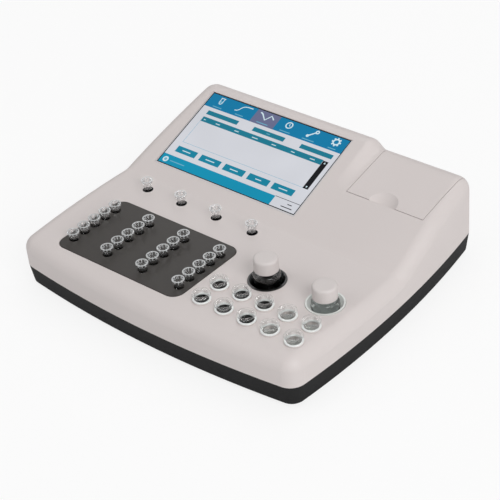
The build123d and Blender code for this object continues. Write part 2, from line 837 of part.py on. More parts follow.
# Lift-out pieces, each made once about its own axis and then set in its place
with BuildPart() as cuvette_shape:
    with BuildSketch(Plane.XZ):
        with BuildLine():
            Polyline(
                (0, 0),
                (cuvette_tip_radius, 0),
                (cuvette_body_radius, cuvette_length - 2 * cuvette_flange_thickness),
                (cuvette_flange_radius, cuvette_length - cuvette_flange_thickness),
                (cuvette_flange_radius, cuvette_length),
                (cuvette_mouth_radius, cuvette_length),
                (cuvette_bore_radius, cuvette_length - cuvette_mouth_depth),
                (cuvette_tip_radius - cuvette_wall, cuvette_wall),
                (0, cuvette_wall),
                close=True,
            )
        make_face()
    revolve(axis=Axis.Z)

with BuildPart() as cup_shape:
    with BuildSketch(Plane.XZ):
        with BuildLine():
            Polyline(
                (0, 0),
                (cup_tip_radius, 0),
                (cup_body_radius, cup_length - cup_flange_thickness),
                (cup_flange_radius, cup_length - cup_flange_thickness),
                (cup_flange_radius, cup_length),
                (cup_body_radius - cup_wall, cup_length),
                (cup_tip_radius - cup_wall, cup_floor),
                (0, cup_floor),
                close=True,
            )
        make_face()
    revolve(axis=Axis.Z)

neck_base_z = vial_shoulder_height + vial_shoulder_rise
with BuildPart() as vial_shape:
    with BuildSketch(Plane.XZ):
        with BuildLine():
            Polyline(
                (0, 0),
                (vial_radius, 0),
                (vial_radius, vial_shoulder_height),
                (vial_neck_radius, neck_base_z),
                (vial_neck_radius, vial_height - vial_mouth_height),
                (vial_mouth_radius, vial_height - vial_mouth_height),
                (vial_mouth_radius, vial_height),
                (vial_neck_radius - vial_wall, vial_height),
                (vial_neck_radius - vial_wall, neck_base_z - vial_wall),
                (vial_radius - vial_wall, vial_shoulder_height - vial_wall),
                (vial_radius - vial_wall, vial_wall),
                (0, vial_wall),
                close=True,
            )
        make_face()
    revolve(axis=Axis.Z)

cap_base_z = vial_height + cap_top - cap_height
with BuildPart() as cap_shape:
    upright_bar([(0, 0)], cap_radius, cap_base_z, vial_height + cap_top)
    fillet(cap_shape.edges().group_by(Axis.Z)[-1], cap_edge_radius)
    drill([(0, 0)], cap_radius - cap_wall, cap_base_z, vial_height)


def set_down(shape, name, place):
    """Set a copy of a shape at its place and write it as one named piece."""
    with BuildPart() as piece:
        with Locations(place):
            add(shape)
    piece.part.label = name
    export_step(piece.part, f"parts/{name}.step")


for number, (spot_x, spot_y) in enumerate(incubator_points, start=1):
    set_down(cuvette_shape.part, f"cuvette_{number:02d}", (spot_x, spot_y, cuvette_floor_z))
for number, (spot_x, spot_y) in enumerate(measuring_points, start=1):
    set_down(cuvette_shape.part, f"measuring_cuvette_{number}", (spot_x, spot_y, measuring_floor_z))
for number, (spot_x, spot_y) in enumerate(cup_points, start=1):
    set_down(cup_shape.part, f"reagent_cup_{number:02d}", (spot_x, spot_y, cup_floor_z))
set_down(vial_shape.part, "heated_vial", (heated_vial_x, heated_vial_y, heated_vial_z))
set_down(vial_shape.part, "ambient_vial", (ambient_vial_x, ambient_vial_y, ambient_vial_z))
set_down(cap_shape.part, "heated_vial_cap", (heated_vial_x, heated_vial_y, heated_vial_z))
set_down(cap_shape.part, "ambient_vial_cap", (ambient_vial_x, ambient_vial_y, ambient_vial_z))


def across_bar(centre_y, centre_z, radius, low_x, high_x):
    """Round bar along X, for an open BuildPart."""
    with BuildSketch(Plane.YZ.offset(low_x)) as disc:
        with Locations((centre_y, centre_z)):
            Circle(radius)
    extrude(disc.sketch, amount=high_x - low_x)


def across_hole(centre_y, centre_z, radius, low_x, high_x):
    """Round hole along X, for an open BuildPart."""
    with BuildSketch(Plane.YZ.offset(low_x)) as disc:
        with Locations((centre_y, centre_z)):
            Circle(radius)
    extrude(disc.sketch, amount=high_x - low_x, mode=Mode.SUBTRACT)


def lid_region(low_z):
    """Block over the lid's footprint, for an open BuildPart."""
    cut_depth = lid_depth + overrun
    with BuildSketch(Plane.XY.offset(low_z)) as footprint:
        with Locations((lid_x, printer_bend_y + cut_depth / 2)):
            Rectangle(lid_width, cut_depth)
    extrude(footprint.sketch, amount=printer_top_z)


hinge_ear_x = lid_width / 2 - hinge_ear_inset
platen_ear_x = platen_length / 2 + platen_side_gap
lid_ears = [
    (hinge_y, hinge_z, lid_x - hinge_ear_x),
    (hinge_y, hinge_z, lid_x + hinge_ear_x - ear_thickness),
    (platen_y, platen_z, lid_x - platen_ear_x - ear_thickness),
    (platen_y, platen_z, lid_x + platen_ear_x),
]

with BuildPart() as lid_inside:
    for ear_y, ear_z, ear_x in lid_ears:
        with BuildSketch(Plane.YZ.offset(ear_x)):
            with Locations((ear_y, ear_z)):
                Circle(ear_radius)
            with Locations((ear_y, ear_z + printer_top_z / 2)):
                Rectangle(2 * ear_radius, printer_top_z)
        extrude(amount=ear_thickness)
    with Locations(dip_centre):
        Sphere(dip_radius + housing_wall)
    add(printer_form, mode=Mode.INTERSECT)

with BuildPart() as lid_limits:
    lid_region(platen_z - platen_radius)

with BuildPart() as printer_lid:
    lid_region(hinge_z - lid_skirt)
    add(printer_form, mode=Mode.INTERSECT)
    add(printer_cavity, mode=Mode.SUBTRACT)
    add(lid_inside.part & lid_limits.part)
    with Locations(dip_centre):
        Sphere(dip_radius, mode=Mode.SUBTRACT)
    across_hole(hinge_y, hinge_z, hinge_pin_radius + running_gap,
                lid_x - lid_width, lid_x + lid_width)
    across_hole(platen_y, platen_z, platen_shaft_radius + running_gap,
                lid_x - lid_width, lid_x + lid_width)
printer_lid.part.label = "printer_lid"
export_step(printer_lid.part, "parts/printer_lid.step")

pin_reach = bucket_outer - fit_gap
with BuildPart() as lid_hinge_pin:
    across_bar(hinge_y, hinge_z, hinge_pin_radius, lid_x - pin_reach, lid_x + pin_reach)
lid_hinge_pin.part.label = "lid_hinge_pin"
export_step(lid_hinge_pin.part, "parts/lid_hinge_pin.step")

with BuildPart() as paper_bucket:
    with BuildSketch(Plane.XY.offset(bucket_bottom_z)):
        with Locations((lid_x, (bucket_front + bucket_back) / 2)):
            Rectangle(2 * bucket_outer, bucket_back - bucket_front)
    extrude(amount=printer_top_z)
    add(clear_form, mode=Mode.INTERSECT)
    pocket_back = bucket_back - bucket_wall
    with BuildSketch(Plane.XY.offset(bucket_floor_z)):
        with Locations((lid_x, (bucket_inner_front + pocket_back) / 2)):
            Rectangle(2 * bucket_inner, pocket_back - bucket_inner_front)
    extrude(amount=printer_top_z, mode=Mode.SUBTRACT)
    # Room for the lid's rolled back edge and for its thumb dip
    across_hole(hinge_y, hinge_z, lid_swing_radius + fit_gap,
                lid_x - bucket_inner, lid_x + bucket_inner)
    with Locations(dip_centre):
        Sphere(dip_radius + housing_wall + 2 * fit_gap, mode=Mode.SUBTRACT)
    across_hole(hinge_y, hinge_z, hinge_pin_radius + running_gap,
                lid_x - bucket_outer, lid_x + bucket_outer)
    # Two ridges keep the paper roll in its place
    with BuildSketch(Plane.XY.offset(bucket_floor_z)):
        with Locations((lid_x, roll_y)):
            Rectangle(2 * bucket_inner, cradle_depth)
    extrude(amount=cradle_height)
    across_hole(roll_y, roll_z, roll_radius + fit_gap, lid_x - bucket_inner, lid_x + bucket_inner)
    drill(bucket_screws, screw_radius + screw_clearance, bucket_bottom_z, bucket_floor_z)
paper_bucket.part.label = "paper_bucket"
export_step(paper_bucket.part, "parts/paper_bucket.step")

print_head_back = platen_y - platen_radius - print_head_gap
with BuildPart() as thermal_print_head:
    head_depth = print_head_back - bucket_inner_front
    with BuildSketch(Plane.XY.offset(platen_z - print_head_height / 2)):
        with Locations((lid_x, bucket_inner_front + head_depth / 2)):
            Rectangle(print_head_length, head_depth)
    extrude(amount=print_head_height)
    # Cooling slots in its top
    with BuildSketch(Plane.XY.offset(platen_z + print_head_height / 2)):
        with Locations((lid_x, bucket_inner_front + head_depth / 2)):
            with GridLocations(print_head_length / print_head_rib_count, 0, print_head_rib_count, 1):
                Rectangle(print_head_rib_width, head_depth)
    extrude(amount=-print_head_rib_depth, mode=Mode.SUBTRACT)
thermal_print_head.part.label = "thermal_print_head"
export_step(thermal_print_head.part, "parts/thermal_print_head.step")

with BuildPart() as platen_roller:
    shaft_reach = platen_ear_x + ear_thickness + platen_side_gap
    gear_reach = shaft_reach + platen_gear_width
    across_bar(platen_y, platen_z, platen_radius,
               lid_x - platen_length / 2, lid_x + platen_length / 2)
    across_bar(platen_y, platen_z, platen_shaft_radius, lid_x - shaft_reach, lid_x + gear_reach)
    across_bar(platen_y, platen_z, platen_gear_radius, lid_x + shaft_reach, lid_x + gear_reach)
platen_roller.part.label = "platen_roller"
export_step(platen_roller.part, "parts/platen_roller.step")

with BuildPart() as paper_roll:
    across_bar(roll_y, roll_z, roll_radius, lid_x - roll_width / 2, lid_x + roll_width / 2)
    across_hole(roll_y, roll_z, roll_core_radius, lid_x - roll_width / 2, lid_x + roll_width / 2)
paper_roll.part.label = "paper_roll"
export_step(paper_roll.part, "parts/paper_roll.step")

with BuildPart() as main_board:
    with BuildSketch(Plane.XY.offset(post_top_z)):
        with Locations((board_x, board_y)):
            Rectangle(board_width, board_depth)
    extrude(amount=board_thickness)
    with BuildSketch(Plane.XY.offset(board_top_z)):
        with Locations((board_x, board_y)):
            with GridLocations(chip_pitch, 0, chip_count, 1):
                Rectangle(chip_size, chip_size)
    extrude(amount=chip_height)
    connector_y = board_y - board_depth / 2 + connector_width
    with BuildSketch(Plane.XY.offset(board_top_z)):
        with Locations((board_x, connector_y)):
            with GridLocations(2 * connector_length, 0, 2, 1):
                Rectangle(connector_length, connector_width)
    extrude(amount=connector_height)
    capacitor_y = board_y + board_depth / 2 - 2 * capacitor_radius
    with BuildSketch(Plane.XY.offset(board_top_z)):
        with Locations((board_x, capacitor_y)):
            with GridLocations(capacitor_pitch, 0, capacitor_count, 1):
                Circle(capacitor_radius)
    extrude(amount=capacitor_height)
    drill(board_screws, screw_radius + screw_clearance, post_top_z, board_top_z)
main_board.part.label = "main_board"
export_step(main_board.part, "parts/main_board.step")

# Power inlet: a round jack and the frame of the rocker switch, clipped in from inside
inlet_face_y = back_y - inlet_recess
rocker_x = inlet_x + rocker_offset
rocker_half = rocker_length / 2
swing = math.radians(rocker_swing)
rocker_reach = (rocker_half * math.cos(swing) + rocker_gap
                + (rocker_body_depth + rocker_proud) * math.sin(swing))
pivot_y = inlet_face_y - rocker_body_depth
with BuildPart() as power_inlet:
    with BuildSketch(Plane.XZ.offset(-inlet_face_y)):
        with Locations((inlet_x, inlet_z)):
            RectangleRounded(inlet_width, inlet_height, inlet_corner_radius)
    extrude(amount=inlet_depth)
    with BuildSketch(Plane.XZ.offset(-back_y + housing_wall)):
        with Locations((inlet_x, inlet_z)):
            RectangleRounded(inlet_width + 2 * inlet_flange, inlet_height + 2 * inlet_flange,
                             inlet_corner_radius)
    extrude(amount=inlet_flange_thickness)
    with BuildSketch(Plane.XZ.offset(-inlet_face_y)):
        with Locations((inlet_x + jack_offset, inlet_z)):
            Circle(jack_radius)
            Circle(jack_pin_radius, mode=Mode.SUBTRACT)
    extrude(amount=jack_depth, mode=Mode.SUBTRACT)
    with BuildSketch(Plane.XZ.offset(-inlet_face_y)):
        with Locations((rocker_x, inlet_z)):
            Rectangle(2 * rocker_reach, rocker_width + 2 * rocker_gap)
    extrude(amount=2 * rocker_body_depth, mode=Mode.SUBTRACT)
    rocker_hole_reach = rocker_width / 2 + rocker_gap + rocker_pin_length
    with BuildSketch(Plane.XY.offset(inlet_z - rocker_hole_reach)):
        with Locations((rocker_x, pivot_y)):
            Circle(rocker_pin_radius + running_gap)
    extrude(amount=2 * rocker_hole_reach, mode=Mode.SUBTRACT)
power_inlet.part.label = "power_inlet"
export_step(power_inlet.part, "parts/power_inlet.step")

# Rocker: a slab with a shallow valley on its face and a stub pin on each side, on which it
# tilts. At rest its left end is pressed in
rocker_plane = Plane(
    origin=(rocker_x, pivot_y, inlet_z - rocker_width / 2),
    x_dir=(math.cos(swing), math.sin(swing), 0),
    z_dir=(0, 0, 1),
)
with BuildPart() as power_rocker:
    with BuildSketch(rocker_plane):
        with BuildLine():
            Polyline(
                (-rocker_half, 0),
                (-rocker_half, rocker_body_depth + rocker_proud),
                (0, rocker_body_depth),
                (rocker_half, rocker_body_depth + rocker_proud),
                (rocker_half, 0),
                close=True,
            )
        make_face()
    extrude(amount=rocker_width)
    with BuildSketch(rocker_plane.offset(-rocker_pin_length)):
        Circle(rocker_pin_radius)
    extrude(amount=rocker_width + 2 * rocker_pin_length)
power_rocker.part.label = "power_rocker"
export_step(power_rocker.part, "parts/power_rocker.step")
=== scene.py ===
import math

import bmesh
import bpy
from bpy.props import FloatProperty, FloatVectorProperty, IntProperty, PointerProperty
from mathutils import Matrix, Vector


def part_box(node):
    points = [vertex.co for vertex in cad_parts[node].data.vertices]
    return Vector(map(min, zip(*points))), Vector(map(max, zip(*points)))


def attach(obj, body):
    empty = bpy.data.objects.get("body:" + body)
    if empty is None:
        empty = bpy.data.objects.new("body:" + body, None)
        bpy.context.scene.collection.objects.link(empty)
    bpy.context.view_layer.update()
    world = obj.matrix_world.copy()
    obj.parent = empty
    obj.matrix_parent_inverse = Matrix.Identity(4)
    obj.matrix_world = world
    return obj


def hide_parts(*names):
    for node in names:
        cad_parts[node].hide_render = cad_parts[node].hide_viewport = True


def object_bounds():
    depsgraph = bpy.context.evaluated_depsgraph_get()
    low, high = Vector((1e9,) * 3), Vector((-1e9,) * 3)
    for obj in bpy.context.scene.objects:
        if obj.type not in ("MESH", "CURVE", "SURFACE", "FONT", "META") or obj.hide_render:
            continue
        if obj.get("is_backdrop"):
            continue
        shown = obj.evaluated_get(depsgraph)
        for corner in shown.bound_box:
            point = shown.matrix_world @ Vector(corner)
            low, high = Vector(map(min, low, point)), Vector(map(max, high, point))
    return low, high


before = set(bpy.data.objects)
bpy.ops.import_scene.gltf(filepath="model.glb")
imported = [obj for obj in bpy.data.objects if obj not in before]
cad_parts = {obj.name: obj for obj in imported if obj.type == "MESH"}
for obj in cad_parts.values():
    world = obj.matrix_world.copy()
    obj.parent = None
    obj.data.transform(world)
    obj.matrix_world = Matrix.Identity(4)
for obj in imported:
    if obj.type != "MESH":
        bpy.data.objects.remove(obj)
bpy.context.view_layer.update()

bl_info = {
    "name": "Coagulation Analyzer",
    "version": (1, 0, 0),
    "blender": (4, 5, 0),
    "location": "3D Viewport > Sidebar > Analyzer",
    "description": "Finishes, display picture, vessels and studio of a coagulation analyzer",
    "category": "Object",
}

MM = 0.001


def linear(hex_colour):
    """Turn an sRGB hex colour into the linear values that shaders use."""
    parts = [int(hex_colour[start:start + 2], 16) / 255 for start in (0, 2, 4)]
    return tuple(part / 12.92 if part <= 0.04045 else ((part + 0.055) / 1.055) ** 2.4
                 for part in parts)


def colour_value(name, description, hex_colour):
    """A colour that a user can change."""
    return FloatVectorProperty(name=name, description=description, subtype="COLOR", size=3,
                               min=0.0, max=1.0, default=linear(hex_colour))


def length_value(name, description, millimetres):
    """A length that a user can change, kept in metres."""
    return FloatProperty(name=name, description=description, unit="LENGTH", min=0.0,
                         precision=5, default=millimetres * MM)


class AnalyzerColours(bpy.types.PropertyGroup):
    housing: colour_value("Housing", "Warm off-white of the housing and the printer lid", "D1C9C7")
    base: colour_value("Base", "Charcoal of the base tray", "1B1B1C")
    mat: colour_value("Mat", "Dark warm grey of the incubator plate", "35312E")
    cap: colour_value("Caps", "White of the vial caps", "CFC8C6")
    bezel: colour_value("Bezel", "Pale print round the display's picture", "CFCDCE")
    paper: colour_value("Picture ground", "Pale ground of the display's picture", "DADCE3")
    bar: colour_value("Title bar", "Blue of the bar at the top of the picture", "0E7DAB")
    tile: colour_value("Chosen tile", "Grey of the chosen tile in the title bar", "6C7192")
    field: colour_value("Fields", "Teal of the fields and the table head", "1C7D95")
    button: colour_value("Buttons", "Teal of the buttons", "1586A3")
    status: colour_value("Status bar", "Cyan blue of the bar at the bottom", "1094B8")
    ink: colour_value("Marks", "Near-white of icons and small marks", "D6ECF4")


class AnalyzerSizes(bpy.types.PropertyGroup):
    rib_count: IntProperty(name="Cuvette ribs", description="Ribs inside each cuvette's mouth",
                           default=8, min=3, max=24)
    rib_width: length_value("Rib width", "Thickness of a cuvette's rib", 0.55)
    rib_reach: length_value("Rib reach", "How far a rib stands into the mouth", 1.1)
    fin_count: IntProperty(name="Cup fins", description="Fins that centre a cup in its well",
                           default=3, min=3, max=12)
    display_tilt: FloatProperty(name="Display tilt", description="Slope of the display",
                                subtype="ANGLE", default=math.radians(20.1))
    glass_thickness: length_value("Glass thickness", "Thickness of the display's cover", 2.3)
    picture_step: length_value("Picture step", "Height of one layer of the picture", 0.02)
    lens: FloatProperty(name="Lens", description="Focal length on a 36 mm sensor", unit="CAMERA",
                        default=109.5, min=10.0, max=400.0)


def add_node(tree, kind, settings=None, links=None):
    """Add a node, give it its settings and link its inputs to other nodes' sockets."""
    node = tree.nodes.new(kind)
    for name, value in (settings or {}).items():
        if isinstance(name, str) and name.islower():
            setattr(node, name, value)
        else:
            node.inputs[name].default_value = value
    for name, socket in (links or {}).items():
        tree.links.new(socket, node.inputs[name])
    return node


def new_material(name, settings):
    """A material with one Principled shader; gives back its tree, shader and place socket."""
    material = bpy.data.materials.new(name)
    material.use_nodes = True
    tree = material.node_tree
    tree.nodes.clear()
    shader = add_node(tree, "ShaderNodeBsdfPrincipled", settings)
    add_node(tree, "ShaderNodeOutputMaterial", links={"Surface": shader.outputs["BSDF"]})
    place = add_node(tree, "ShaderNodeTexCoord").outputs["Object"]
    return material, tree, shader, place


def opaque(colour, share=1.0):
    """A colour with its alpha, made lighter or darker by a share."""
    return tuple(min(part * share, 1.0) for part in colour) + (1.0,)


def dress(tree, outputs, shader):
    """Link the blended colour, the roughness and, where there is one, the bump to the shader."""
    for socket, name in zip(outputs, ("Base Color", "Roughness", "Normal")):
        tree.links.new(socket, shader.inputs[name])


def moulded_plastic(name, colour, roughness, grain, depth, spread=0.02, shine=0.5):
    """Injection-moulded plastic: an even colour with slow cloudy drift and a fine spark texture.

    The eye gets a soft broad highlight. A real spark texture is 0.1 to 0.3 mm, too fine for a
    500 px picture of a 300 mm body, so the grain is drawn a few times coarser.
    """
    material, tree, shader, place = new_material(name, {"IOR": 1.53, "Specular IOR Level": shine})
    drift = add_node(tree, "ShaderNodeTexNoise", {"Scale": 1 / (70 * MM), "Detail": 2.0},
                     {"Vector": place})
    shade = add_node(tree, "ShaderNodeMix",
                     {"data_type": "RGBA", 6: opaque(colour, 1 - spread),
                      7: opaque(colour, 1 + spread)},
                     {0: drift.outputs["Fac"]})
    spark = add_node(tree, "ShaderNodeTexNoise", {"Scale": 1 / grain, "Detail": 4.0},
                     {"Vector": place})
    gloss = add_node(tree, "ShaderNodeMapRange", {3: roughness - 0.06, 4: roughness + 0.06},
                     {"Value": spark.outputs["Fac"]})
    bump = add_node(tree, "ShaderNodeBump", {"Strength": 0.5, "Distance": depth},
                    {"Height": spark.outputs["Fac"]})
    dress(tree, (shade.outputs[2], gloss.outputs["Result"], bump.outputs["Normal"]), shader)
    return material


def clear_moulding(name, tint, alpha, ior, roughness, clear=1.0, glow=0.0):
    """Clear moulded plastic or glass, with the faint flow waves that moulding leaves in it.

    A wall shows what is behind it. A rim or a rib is drawn whiter, with less of its light
    passing through: a painted highlight. The glow setting gives a painted glow, not a lamp.
    """
    material, tree, shader, place = new_material(
        name, {"Alpha": alpha, "IOR": ior, "Transmission Weight": clear,
               "Emission Color": opaque(tint), "Emission Strength": glow})
    waves = add_node(tree, "ShaderNodeTexNoise", {"Scale": 1 / (3 * MM), "Detail": 2.0},
                     {"Vector": place})
    gloss = add_node(tree, "ShaderNodeMapRange", {3: roughness, 4: roughness + 0.03},
                     {"Value": waves.outputs["Fac"]})
    shade = add_node(tree, "ShaderNodeMix",
                     {"data_type": "RGBA", 6: opaque(tint, 0.96), 7: opaque(tint)},
                     {0: waves.outputs["Fac"]})
    dress(tree, (shade.outputs[2], gloss.outputs["Result"]), shader)
    return material


def worked_metal(name, colour, roughness, streak, along):
    """Machined, ground or plated metal, with fine tool lines along one axis."""
    material, tree, shader, place = new_material(name, {"Metallic": 1.0})
    stretch = [1.0, 1.0, 1.0]
    stretch[along] = 0.05
    lines_place = add_node(tree, "ShaderNodeMapping", {"Scale": stretch}, {"Vector": place})
    lines = add_node(tree, "ShaderNodeTexNoise", {"Scale": 1 / streak, "Detail": 3.0},
                     {"Vector": lines_place.outputs["Vector"]})
    shade = add_node(tree, "ShaderNodeMix",
                     {"data_type": "RGBA", 6: opaque(colour, 0.85), 7: opaque(colour, 1.1)},
                     {0: lines.outputs["Fac"]})
    gloss = add_node(tree, "ShaderNodeMapRange", {3: roughness - 0.08, 4: roughness + 0.08},
                     {"Value": lines.outputs["Fac"]})
    bump = add_node(tree, "ShaderNodeBump", {"Strength": 0.3, "Distance": 0.03 * MM},
                    {"Height": lines.outputs["Fac"]})
    dress(tree, (shade.outputs[2], gloss.outputs["Result"], bump.outputs["Normal"]), shader)
    return material


def circuit_board(name, part_level):
    """Green solder mask with paler tracks; what stands above the part level is dark resin."""
    material, tree, shader, place = new_material(name, {"Roughness": 0.4})
    tracks = add_node(tree, "ShaderNodeTexBrick",
                      {"Color1": opaque(linear("1E5A38")), "Color2": opaque(linear("23643F")),
                       "Mortar": opaque(linear("3C8458")), "Scale": 1 / (12 * MM),
                       "Mortar Size": 0.03},
                      {"Vector": place})
    height = add_node(tree, "ShaderNodeSeparateXYZ", links={"Vector": place})
    above = add_node(tree, "ShaderNodeMath", {"operation": "GREATER_THAN", 1: part_level},
                     {0: height.outputs["Z"]})
    shade = add_node(tree, "ShaderNodeMix", {"data_type": "RGBA", 7: opaque(linear("1C1D20"))},
                     {0: above.outputs["Value"], 6: tracks.outputs["Color"]})
    dress(tree, (shade.outputs[2],), shader)
    return material


def rolled_paper(name):
    """Thermal paper wound on its core: white, with the turns showing as faint rings."""
    material, tree, shader, place = new_material(name, {"Roughness": 0.7})
    low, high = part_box("paper_roll")
    middle = (low + high) / 2
    centred = add_node(tree, "ShaderNodeMapping", {"Location": -middle}, {"Vector": place})
    rings = add_node(tree, "ShaderNodeTexWave",
                     {"wave_type": "RINGS", "rings_direction": "X", "Scale": 1 / (3 * MM),
                      "Distortion": 0.4},
                     {"Vector": centred.outputs["Vector"]})
    shade = add_node(tree, "ShaderNodeMix",
                     {"data_type": "RGBA", 6: opaque(linear("DEDBD4")),
                      7: opaque(linear("F3F1EC"))},
                     {0: rings.outputs["Fac"]})
    dress(tree, (shade.outputs[2],), shader)
    return material


def lit_picture(name, colour):
    """A lit area of the display under its glossy cover, with the panel's slight unevenness.

    It gives off its own colour and reflects a third of it.
    """
    material, tree, shader, place = new_material(
        name, {"Roughness": 0.12, "IOR": 1.5, "Specular IOR Level": 0.15,
               "Emission Strength": 0.62})
    cloud = add_node(tree, "ShaderNodeTexNoise", {"Scale": 1 / (45 * MM), "Detail": 1.0},
                     {"Vector": place})
    shade = add_node(tree, "ShaderNodeMix",
                     {"data_type": "RGBA", 6: opaque(colour, 0.93), 7: opaque(colour, 1.07)},
                     {0: cloud.outputs["Fac"]})
    dimmed = add_node(tree, "ShaderNodeMix",
                      {"data_type": "RGBA", "blend_type": "MULTIPLY", 0: 1.0,
                       7: (0.3, 0.3, 0.3, 1.0)},
                      {6: shade.outputs[2]})
    tree.links.new(dimmed.outputs[2], shader.inputs["Base Color"])
    tree.links.new(shade.outputs[2], shader.inputs["Emission Color"])
    return material


def finish(material, *nodes):
    """Give a material to CAD nodes."""
    for node in nodes:
        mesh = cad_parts[node].data
        mesh.materials.clear()
        mesh.materials.append(material)


def revolved(name, profile, sides, crease=40.0, glow=(0.0, 0.0)):
    """A mesh turned round the Z axis from (radius, height) points; ends on the axis are closed.

    Faces between the two glow heights are marked, so that they can take the rim's material with its
    painted highlight.
    """
    bm = bmesh.new()
    marked = bm.faces.layers.bool.new("painted_highlight")
    rings = []
    for radius, height in profile:
        if radius == 0:
            rings.append([bm.verts.new((0, 0, height))])
        else:
            turn = 2 * math.pi / sides
            rings.append([bm.verts.new((radius * math.cos(turn * step),
                                        radius * math.sin(turn * step), height))
                          for step in range(sides)])
    for below, above in zip(rings, rings[1:]):
        for step in range(sides):
            after = (step + 1) % sides
            corners = [below[step % len(below)], below[after % len(below)],
                       above[after % len(above)], above[step % len(above)]]
            unique = [vert for place, vert in enumerate(corners) if vert not in corners[:place]]
            face = bm.faces.new(unique)
            face[marked] = glow[0] < face.calc_center_median().z < glow[1]
    bmesh.ops.recalc_face_normals(bm, faces=bm.faces)
    mesh = bpy.data.meshes.new(name)
    bm.to_mesh(mesh)
    bm.free()
    for face in mesh.polygons:
        face.use_smooth = True
    mesh.set_sharp_from_angle(angle=math.radians(crease))
    return mesh


def rounded(corner_before, corner, corner_after, radius, steps=4):
    """Points of a small round in place of a corner of a profile."""
    before = (Vector(corner_before) - Vector(corner)).normalized() * radius
    after = (Vector(corner_after) - Vector(corner)).normalized() * radius
    points = []
    for step in range(steps + 1):
        share = step / steps
        points.append(tuple(Vector(corner) + before * (1 - share) ** 2 + after * share ** 2))
    return points


def numbered(pattern, count):
    """Names of a numbered row of CAD nodes."""
    return [pattern.format(number) for number in range(1, count + 1)]


def new_piece(name, mesh, body, slot, *nodes):
    """Link a piece, let it ride on its body and stand for its CAD nodes."""
    piece = bpy.data.objects.new(name, mesh)
    bpy.context.scene.collection.objects.link(piece)
    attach(piece, body)
    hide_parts(*nodes)


def ribbed_tree():
    """Geometry Nodes: a body with straight ribs set round its axis, carried to its place."""
    tree = bpy.data.node_groups.new("Ribbed moulding", "GeometryNodeTree")
    for name, kind in (("Geometry", "Geometry"), ("Rib Count", "Int"), ("Rib Circle", "Float"),
                       ("Rib Size", "Vector"), ("Rib Height", "Float"), ("Place", "Vector"),
                       ("Wall", "Material"), ("Rib", "Material"), ("Rim", "Material")):
        tree.interface.new_socket(name, in_out="INPUT", socket_type="NodeSocket" + kind)
    tree.interface.new_socket("Geometry", in_out="OUTPUT", socket_type="NodeSocketGeometry")
    given = add_node(tree, "NodeGroupInput").outputs
    circle = add_node(tree, "GeometryNodeMeshCircle",
                      links={"Vertices": given["Rib Count"], "Radius": given["Rib Circle"]})
    lifted = add_node(tree, "ShaderNodeCombineXYZ", links={"Z": given["Rib Height"]})
    raised = add_node(tree, "GeometryNodeTransform",
                      links={"Geometry": circle.outputs["Mesh"], "Translation": lifted.outputs[0]})
    rib = add_node(tree, "GeometryNodeMeshCube", links={"Size": given["Rib Size"]})
    rib = add_node(tree, "GeometryNodeSetMaterial",
                   links={"Geometry": rib.outputs["Mesh"], "Material": given["Rib"]})
    spot = add_node(tree, "GeometryNodeInputPosition")
    flat = add_node(tree, "ShaderNodeVectorMath", {"operation": "MULTIPLY", 1: (1.0, 1.0, 0.0)},
                    {0: spot.outputs["Position"]})
    facing = add_node(tree, "FunctionNodeAlignRotationToVector", {"axis": "X"},
                      {"Vector": flat.outputs["Vector"]})
    ribs = add_node(tree, "GeometryNodeInstanceOnPoints",
                    links={"Points": raised.outputs["Geometry"],
                           "Instance": rib.outputs["Geometry"],
                           "Rotation": facing.outputs["Rotation"]})
    joined = add_node(tree, "GeometryNodeJoinGeometry",
                      links={"Geometry": ribs.outputs["Instances"]})
    wall = add_node(tree, "GeometryNodeSetMaterial",
                    links={"Geometry": given["Geometry"], "Material": given["Wall"]})
    tree.links.new(wall.outputs["Geometry"], joined.inputs["Geometry"])
    placed = add_node(tree, "GeometryNodeTransform",
                      links={"Geometry": joined.outputs["Geometry"], "Translation": given["Place"]})
    real = add_node(tree, "GeometryNodeRealizeInstances",
                    links={"Geometry": placed.outputs["Geometry"]})
    # Marked faces take the rim's material, a painted highlight
    painted_highlight = add_node(tree, "GeometryNodeInputNamedAttribute",
                       {"data_type": "BOOLEAN", "Name": "painted_highlight"})
    rimmed = add_node(tree, "GeometryNodeSetMaterial",
                      links={"Geometry": real.outputs["Geometry"], "Material": given["Rim"],
                             "Selection": painted_highlight.outputs["Attribute"]})
    add_node(tree, "NodeGroupOutput", links={"Geometry": rimmed.outputs["Geometry"]})
    return tree


def sleeve_tree():
    """Geometry Nodes: a thin-walled tube set at each point of the given mesh."""
    tree = bpy.data.node_groups.new("Shade sleeves", "GeometryNodeTree")
    for name, kind in (("Geometry", "Geometry"), ("Radius", "Float"), ("Thickness", "Float"),
                       ("Length", "Float"), ("Material", "Material")):
        tree.interface.new_socket(name, in_out="INPUT", socket_type="NodeSocket" + kind)
    tree.interface.new_socket("Geometry", in_out="OUTPUT", socket_type="NodeSocketGeometry")
    given = add_node(tree, "NodeGroupInput").outputs
    circle = add_node(tree, "GeometryNodeCurvePrimitiveCircle", {"Resolution": 48},
                      {"Radius": given["Radius"]})
    wall = add_node(tree, "GeometryNodeCurvePrimitiveQuadrilateral",
                    links={"Width": given["Thickness"], "Height": given["Length"]})
    tube = add_node(tree, "GeometryNodeCurveToMesh",
                    links={"Curve": circle.outputs["Curve"],
                           "Profile Curve": wall.outputs["Curve"]})
    tubes = add_node(tree, "GeometryNodeInstanceOnPoints",
                     links={"Points": given["Geometry"], "Instance": tube.outputs["Mesh"]})
    real = add_node(tree, "GeometryNodeRealizeInstances",
                    links={"Geometry": tubes.outputs["Instances"]})
    coated = add_node(tree, "GeometryNodeSetMaterial",
                      links={"Geometry": real.outputs["Geometry"], "Material": given["Material"]})
    add_node(tree, "NodeGroupOutput", links={"Geometry": coated.outputs["Geometry"]})
    return tree


